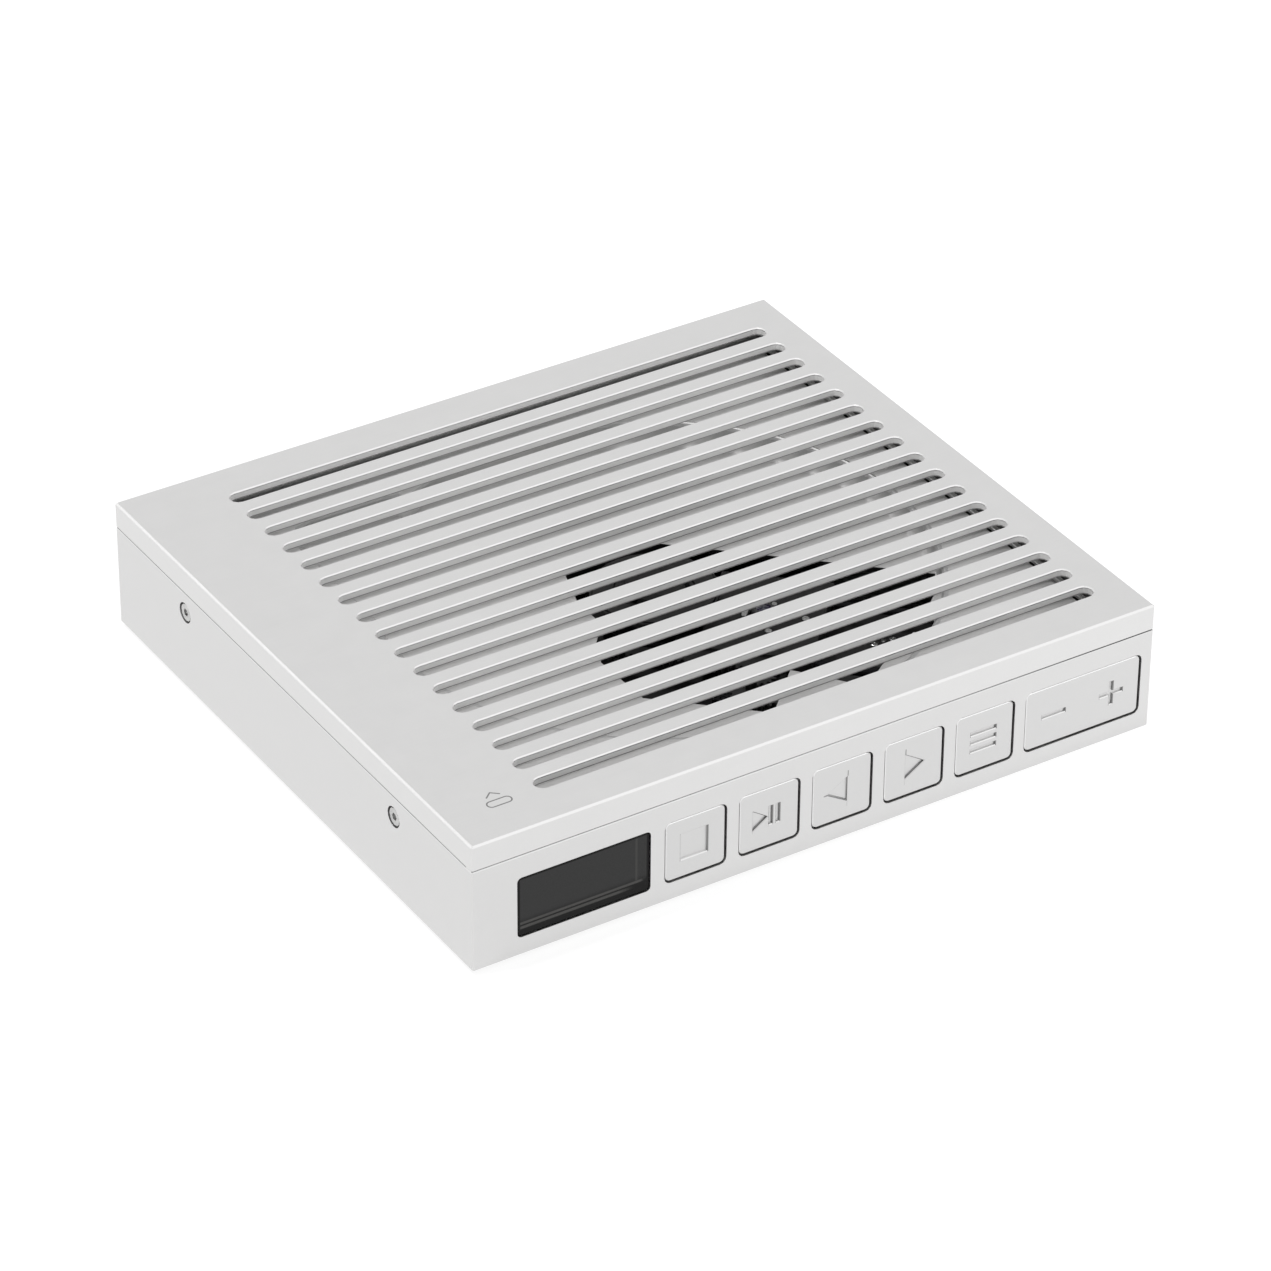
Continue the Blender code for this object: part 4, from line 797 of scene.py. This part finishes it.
def outlineDistance(x, z, corners):
    # Distance to a convex outline, below 0 inside: the largest of the distances past each side
    ends = list(zip(corners, corners[1:] + corners[:1]))
    turn = np.sign(sum(ax * bz - bx * az for (ax, az), (bx, bz) in ends))
    far = np.full(x.shape, -1e9)
    for (ax, az), (bx, bz) in ends:
        past = ((x - ax) * (bz - az) - (z - az) * (bx - ax)) / np.hypot(bx - ax, bz - az)
        far = np.maximum(far, past * turn)
    return far


def gridLines(reach, corner, middle, outlines, axis, look):
    # Lines of the face's grid: close together in the corner arcs and over each symbol, wide elsewhere
    turn = np.linspace(0, np.pi / 2, look["arcLines"])
    arc = reach - corner * (1 - np.cos(turn))
    lines = [arc, -arc, np.linspace(-reach + corner, reach - corner, look["flatLines"])]
    for outline in outlines:
        values = [point[axis] - middle for point in outline]
        if len(outline) == 4:  # a bar needs lines only at its own sides
            half = look["wall"] / 2
            lines.append(min(values) + np.array([-half - look["rim"], -half, half]))
            lines.append(max(values) + np.array([-half, half, half + look["rim"]]))
        else:
            low = min(values) - look["grid"] * 3
            high = max(values) + look["grid"] * 3
            lines.append(np.linspace(low, high, int((high - low) / look["grid"])))
    lines = np.unique(np.concatenate(lines).round(4))
    keep = np.concatenate([[True], np.diff(lines) > look["leastGap"]])
    return lines[keep]


def ringLoop(rows, columns):
    # The grid's rim as one loop of places, starting at its first corner
    grid = np.arange(rows * columns).reshape(rows, columns)
    return np.concatenate([grid[0, :-1], grid[:-1, -1], grid[-1, :0:-1], grid[:0:-1, 0]])


def roundedRing(rim, half, corner, newHalf, newCorner):
    # Carries a rounded rectangle's rim to another one: straight sides scale, corner arcs keep their angle
    core = half - corner
    inner = np.clip(rim, -core, core)
    way = (rim - inner) / corner
    return inner * (newHalf - newCorner) / core + way * newCorner


def keyFace(half, corner, middle, outlines, look):
    # A grid of x and z over the rounded face, each row drawn in to the corner arcs' reach at its height, and
    # its depth: 0 on the flat, a slope over the rim, a steep wall round each symbol, and full inside it
    across = gridLines(half[0], corner, middle[0], outlines, 0, look)
    up = gridLines(half[1], corner, middle[1], outlines, 1, look)
    x, z = np.meshgrid(across, up)
    over = np.maximum(np.abs(z) - (half[1] - corner), 0)
    reach = half[0] - corner + np.sqrt(np.maximum(corner**2 - over**2, 0))
    x = x * reach / half[0]
    far = np.full(x.shape, 1e9)
    for outline in outlines:
        far = np.minimum(far, outlineDistance(x + middle[0], z + middle[1], outline))
    slope = np.clip(look["wall"] / 2 + look["rim"] - far, 0, look["rim"])
    wall = np.clip(0.5 - far / look["wall"], 0, 1)
    return x, z, slope + (look["depth"] - look["rim"]) * wall


def cutterMarks(depth, quads, look):
    # Painted shade and highlights from how far each face's corners differ in depth: upwards, to the right and
    # in all. Walls facing left get the darkest shade, lower walls a pale highlight
    corners = depth.ravel()[quads]
    rise = np.ptp(corners, axis=1) / look["depth"]
    slope = (corners[:, 1] + corners[:, 2] - corners[:, 0] - corners[:, 3]) / look["depth"]
    lift = (corners[:, 2] + corners[:, 3] - corners[:, 0] - corners[:, 1]) / look["depth"]
    flat = look["flat"]
    side = np.where(lift > flat, look["lowerLight"], look["otherShade"])
    side = np.where(slope < -flat, look["rightShade"], side)
    steep = np.clip(rise * 3 - 0.7, 0, 1)  # from 0 at a quarter of the depth to 1 at a little over half
    walls = np.minimum(steep * side, 1)
    lips = (rise > flat) & (rise < look["lipRise"]) & ((slope > flat) | (lift < -flat))  # left and upper rims
    return np.where(lips, look["lipShade"], walls)


def makeKey(name, look):
    # The face's rim is carried back in rings over the edge, the sides and the flange to a flat back, which
    # has a turned nub behind it, or two on the rocker
    low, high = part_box(name)
    middle = np.array([(low.x + high.x) / 2, (low.z + high.z) / 2]) / mm
    size = np.array([high.x - low.x, high.z - low.z]) / mm / 2
    rocker = name == "volume_rocker"
    lip = look["flangeLip"] + look["gap"]
    cap = size - np.array([0 if rocker else lip, lip]) - look["extraGap"]
    flange = size - np.array([look["rockerInset"] if rocker else 0, 0])
    half = cap - look["edge"]
    corner = look["corner"] - look["edge"]
    x, z, depth = keyFace(half, corner, middle, symbols[name], look)
    face = np.stack([x + middle[0], look["front"] + depth, z + middle[1]], -1).reshape(-1, 3)
    loop = ringLoop(*x.shape)
    rim = np.stack([x.ravel(), z.ravel()], -1)[loop]
    steps = [
        (cap, look["corner"], look["front"] + look["edge"]),
        (cap, look["corner"], look["flangeFront"]),
        (flange, look["flangeCorner"], look["flangeFront"]),
        (flange, look["flangeCorner"], look["flangeBack"]),
    ]
    rings = []
    for newHalf, newCorner, place in steps:
        ring = roundedRing(rim, half, corner, newHalf, newCorner) + middle
        rings.append(np.stack([ring[:, 0], np.full(len(ring), place), ring[:, 1]], -1))
    count = len(loop)
    points = np.concatenate([face] + rings)
    faceQuads = gridQuads(*x.shape)
    firstRing = len(face) + np.arange(count)
    edge = np.stack([loop, np.roll(loop, -1), np.roll(firstRing, -1), firstRing], -1)
    sides = gridQuads(len(steps), count, True) + len(face)
    back = [list(range(len(points) - count, len(points)))[::-1]]
    parts = [(points * mm, [faceQuads, edge[:, ::-1], sides[:, ::-1], back])]
    reach = look["nubEnd"] - look["flangeBack"]
    radius, nubEdge = look["nubRadius"], look["nubEdge"]
    nub = [(radius, -nubEdge), (radius, reach - nubEdge), (radius - nubEdge, reach)]
    for offset in look["rockerNubs"] if rocker else [0]:
        parts.append(turnedForm(nub, (middle[0] + offset, look["flangeBack"], middle[1]), (0, 1, 0)))
    piece = makePiece(name + "_engraved", parts, finishes["key_metal"], keyBodies[name])
    shadeAndLight = np.zeros(len(piece.data.polygons), np.float32)
    shadeAndLight[:len(faceQuads)] = cutterMarks(depth, faceQuads, look)
    # painted highlight along the face's edge
    shadeAndLight[len(faceQuads):len(faceQuads) + count] = look["edgeLight"]
    piece.data.attributes.new("cutterMarks", "FLOAT", "FACE").data.foreach_set("value", shadeAndLight)
    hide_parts(name)
    return piece


for name in symbols:
    made = makeKey(name, keyLook)
    print("key made:", made.name, len(made.data.polygons), "faces")


# Ledges along the side walls, just below the lid, which the slots' ends show, painted near white as a
# highlight. In millimetres
ledgeLook = {
    "inner": 78.8,
    "outer": 79.95,
    "low": 22.4,
    "high": 23.35,
    "edge": 0.15,
    "reach": 69.0,
    "taper": 0.2,
    "endShare": 0.8,
}


def makeLedge(name, look, side):
    # The ledge's section, a bar with small edges, carried straight along the wall and drawn in at its ends
    inner, outer, low, high, edge = (look[key] for key in ("inner", "outer", "low", "high", "edge"))
    section = [(inner, low + edge), (inner + edge, low), (outer, low)]
    section += [(outer, high), (inner + edge, high), (inner, high - edge)]
    section = np.array(section) * (side, 1)
    full = look["reach"] - look["taper"]
    along = np.array([-look["reach"], -full, full, look["reach"]])
    grown = np.array([look["endShare"], 1, 1, look["endShare"]])
    middle = section.mean(0)
    rings = middle + (section - middle) * grown[:, None, None]
    place = np.repeat(along[:, None], len(section), 1)
    points = np.stack([rings[..., 0], place, rings[..., 1]], -1).reshape(-1, 3)
    quads = gridQuads(len(along), len(section), True)
    caps = endCaps(len(section), len(points))
    if side > 0:
        quads = quads[:, ::-1]
        caps = [cap[::-1] for cap in caps]
    makePiece(name, [(points * mm, [quads, caps])], finishes["bright_rim"], "housing", 0.5)


makeLedge("side_ledge_left", ledgeLook, -1)
makeLedge("side_ledge_right", ledgeLook, 1)
print("ledges made")


def arcForm(section, look, arc):
    # A closed section of (reach, height) pairs, counter-clockwise, carried round the well's axis:
    # point = middle + reach times the turning direction, at the pair's height. The arc's two ends are closed
    turn = np.radians(np.linspace(*arc, look["turns"]))[:, None]
    section = np.array(section)
    x = look["middle"][0] + section[:, 0] * np.cos(turn)
    y = look["middle"][1] + section[:, 0] * np.sin(turn)
    points = np.stack([x, y, section[:, 1] + 0 * turn], -1).reshape(-1, 3)
    count = len(section)
    caps = [cap[::-1] for cap in endCaps(count, len(points))]
    return points * mm, [gridQuads(len(turn), count, True)[:, ::-1], caps]


def makeWell(look):
    # The cove's section is a quarter round from the floor up to the wall, closed by a corner in the deck
    rim = arcForm(look["rim"], look, look["arc"])
    makePiece("well_rim", [rim], finishes["polished_rim"], "housing", 0.1)
    turn = np.linspace(0, np.pi / 2, 9)
    reach = look["wall"] - look["cove"] * (1 - np.cos(turn))
    height = look["floor"] + look["cove"] * (1 - np.sin(turn))
    outer = look["wall"] + look["skin"]
    section = [(outer, look["floor"] - look["skin"]), (outer, look["floor"] + look["cove"])]
    section += np.stack([reach, height], -1).tolist()
    coves = [arcForm(section, look, arc) for arc in look["coveArcs"]]
    makePiece("well_cove", coves, finishes["deck_metal"], "housing", 0.5)
    print("well rim and cove made")


makeWell(wellLook)


# Small bright parts of the mechanism, by their places along and across the pickup's travel, in millimetres
mechanismLook = {
    "spindle": (7.0, 0.6),
    "turn": -43.0,  # the travel's direction in degrees
    "sledTop": 16.2,
    "chassisTop": 7.1,
    "pickupScrews": [(25.2, 4.4, 0.60), (25.7, -6.1, 0.75), (32.7, 0.1, 0.80)],  # with their radius
    "chassisScrews": [(35.3, 7.1, 0.7), (46.6, 7.1, 1.0), (48.4, 8.6, 0.6), (50.2, 9.7, 0.8)],
    # A screw head's profile: shares of its radius, and heights
    "head": [(1, -0.05), (1, 0.12), (0.82, 0.25), (0.4, 0.25), (0.34, 0.10)],
    "yokes": [(19.6, 0.6), (27.6, 0.6)],  # each yoke's middle along the travel, and its half width
    "yokeHalf": 1.6,
    # A yoke's profile: shares of its outline, and heights
    "yokeProfile": [(1, -0.05), (1, 0.16), (0.94, 0.22), (0.3, 0.22)],
    "yokePower": 0.4,  # below 1 squares the outline's ellipse off
}


def onMechanism(along, across, look):
    # The travel's directions turned into the part's own x and y
    turn = np.radians(look["turn"])
    x = look["spindle"][0] + along * np.cos(turn) - across * np.sin(turn)
    y = look["spindle"][1] + along * np.sin(turn) + across * np.cos(turn)
    return x, y


def screwHead(along, across, radius, low, look):
    # The head's profile times the radius, turned round the upright through its place
    x, y = onMechanism(along, across, look)
    profile = [(radius * share, height) for share, height in look["head"]]
    return turnedForm(profile, (x, y, low), sides=20)


def yokePlate(middle, half, look):
    # A plate bent over the coil: rounded outline rings carried up and then in to the middle
    turn = np.linspace(0, 2 * np.pi, 40, endpoint=False)
    along = np.sign(np.cos(turn)) * np.abs(np.cos(turn))**look["yokePower"]
    across = np.sign(np.sin(turn)) * np.abs(np.sin(turn))**look["yokePower"]
    rings = []
    for share, height in look["yokeProfile"]:
        x, y = onMechanism(middle + along * half * share, across * look["yokeHalf"] * share, look)
        rings.append(np.stack([x, y, np.full(len(turn), look["sledTop"] + height)], -1))
    points = np.concatenate(rings)
    return points * mm, [gridQuads(len(rings), len(turn), True), endCaps(len(turn), len(points))]


def makeFittings(look):
    # Each kind of fitting is one piece on the body that carries it
    heads = [screwHead(*screw, look["sledTop"], look) for screw in look["pickupScrews"]]
    makePiece("pickup_screws", heads, finishes["screw_steel"], "pickup")
    yokes = [yokePlate(middle, half, look) for middle, half in look["yokes"]]
    makePiece("pickup_yokes", yokes, finishes["screw_steel"], "pickup")
    heads = [screwHead(*screw, look["chassisTop"], look) for screw in look["chassisScrews"]]
    makePiece("chassis_screws", heads, finishes["screw_steel"], "housing")
    print("mechanism fittings made")


makeFittings(mechanismLook)


# Stage: floor, surroundings and soft lamps. Sizes and places in metres, power in watts
stageLook = {
    "floorSize": 6.0,
    "floorLines": 42,
    "floorDrop": 0.00005,
    "floorTone": 0.95,
    "floorShare": 0.70,  # how much of what is seen of the floor is its glow
    "floorGlow": (1.12, 1.25),
    "floorFade": (-0.08, 0.16),  # it glows more towards the right, which the front shows
    "ambient": 0.70,
    "surround": 0.93,
}
softboxes = {
    "key_softbox": {"place": (0.62, -0.80, 1.05), "size": (1.5, 1.5), "power": 3.0},
    "side_softbox": {"place": (-0.84, 1.05, 0.67), "size": (0.5, 0.4), "power": 0.6},
    "top_softbox": {"place": (-1.05, 0.27, 3.0), "size": (0.22, 0.22), "power": 29.0},
}
lampAim = Vector((0, 0, 0.02))


def seenDirectly(board):
    # 1 for rays from the camera, off metal or through glass, 0 for the light that falls on things
    path = board.node("ShaderNodeLightPath", output="Is Camera Ray")
    return path.most(path.beside("Is Glossy Ray")).most(path.beside("Is Transmission Ray"))


def makeFloor(look):
    # A flat grid just under the feet, part plain and part glowing, and clear from below to show the base
    mesh = bpy.data.meshes.new("floor")
    line = np.linspace(-look["floorSize"] / 2, look["floorSize"] / 2, look["floorLines"])
    x, y = np.meshgrid(line, line)
    points = np.stack([x, y, np.full(x.shape, -look["floorDrop"])], -1).reshape(-1, 3)
    mesh.from_pydata(points.tolist(), [], gridQuads(*x.shape).tolist())
    floor = bpy.data.objects.new("floor", mesh)
    scene.collection.objects.link(floor)
    board = Finish("floor_finish")
    plain = board.node("ShaderNodeBsdfDiffuse", values={"Color": grey(look["floorTone"])})
    low, high = look["floorGlow"]
    fade = board.blend(board.step(board.axes()[0], *look["floorFade"]), grey(low / high), grey(1.0))
    glow = board.node("ShaderNodeEmission", values={"Color": fade, "Strength": high})
    share = seenDirectly(board) * look["floorShare"]
    above = board.node("ShaderNodeMixShader", values={0: share, 1: plain, 2: glow})
    below = board.node("ShaderNodeNewGeometry", output="Backfacing")
    clear = board.node("ShaderNodeBsdfTransparent")
    surface = board.node("ShaderNodeMixShader", values={0: below, 1: above, 2: clear})
    board.node("ShaderNodeOutputMaterial", values={"Surface": surface})
    mesh.materials.append(board.material)


def makeSurround(look):
    # White where the camera sees it, a little less in reflections, and the ambient light elsewhere
    world = bpy.data.worlds.new("surround")
    scene.world = world
    board = Finish("surround", world)
    path = board.node("ShaderNodeLightPath", output="Is Camera Ray")
    straight = path.most(path.beside("Is Transmission Ray"))
    shiny = path.beside("Is Glossy Ray")
    level = look["ambient"] + straight * (1 - look["ambient"]) + shiny * (look["surround"] - look["ambient"])
    sky = board.node("ShaderNodeBackground", values={"Color": grey(1.0), "Strength": level})
    board.node("ShaderNodeOutputWorld", values={"Surface": sky})


def makeSoftbox(name, look):
    # A rectangular lamp that faces the case
    lamp = bpy.data.lights.new(name, "AREA")
    lamp.shape = "RECTANGLE"
    lamp.size, lamp.size_y = look["size"]
    lamp.energy = look["power"]
    holder = bpy.data.objects.new(name, lamp)
    scene.collection.objects.link(holder)
    holder.location = look["place"]
    aim = lampAim - Vector(look["place"])
    holder.rotation_euler = aim.to_track_quat("-Z", "Y").to_euler()


makeFloor(stageLook)
makeSurround(stageLook)
for name, look in softboxes.items():
    makeSoftbox(name, look)
print("stage and lamps ready")
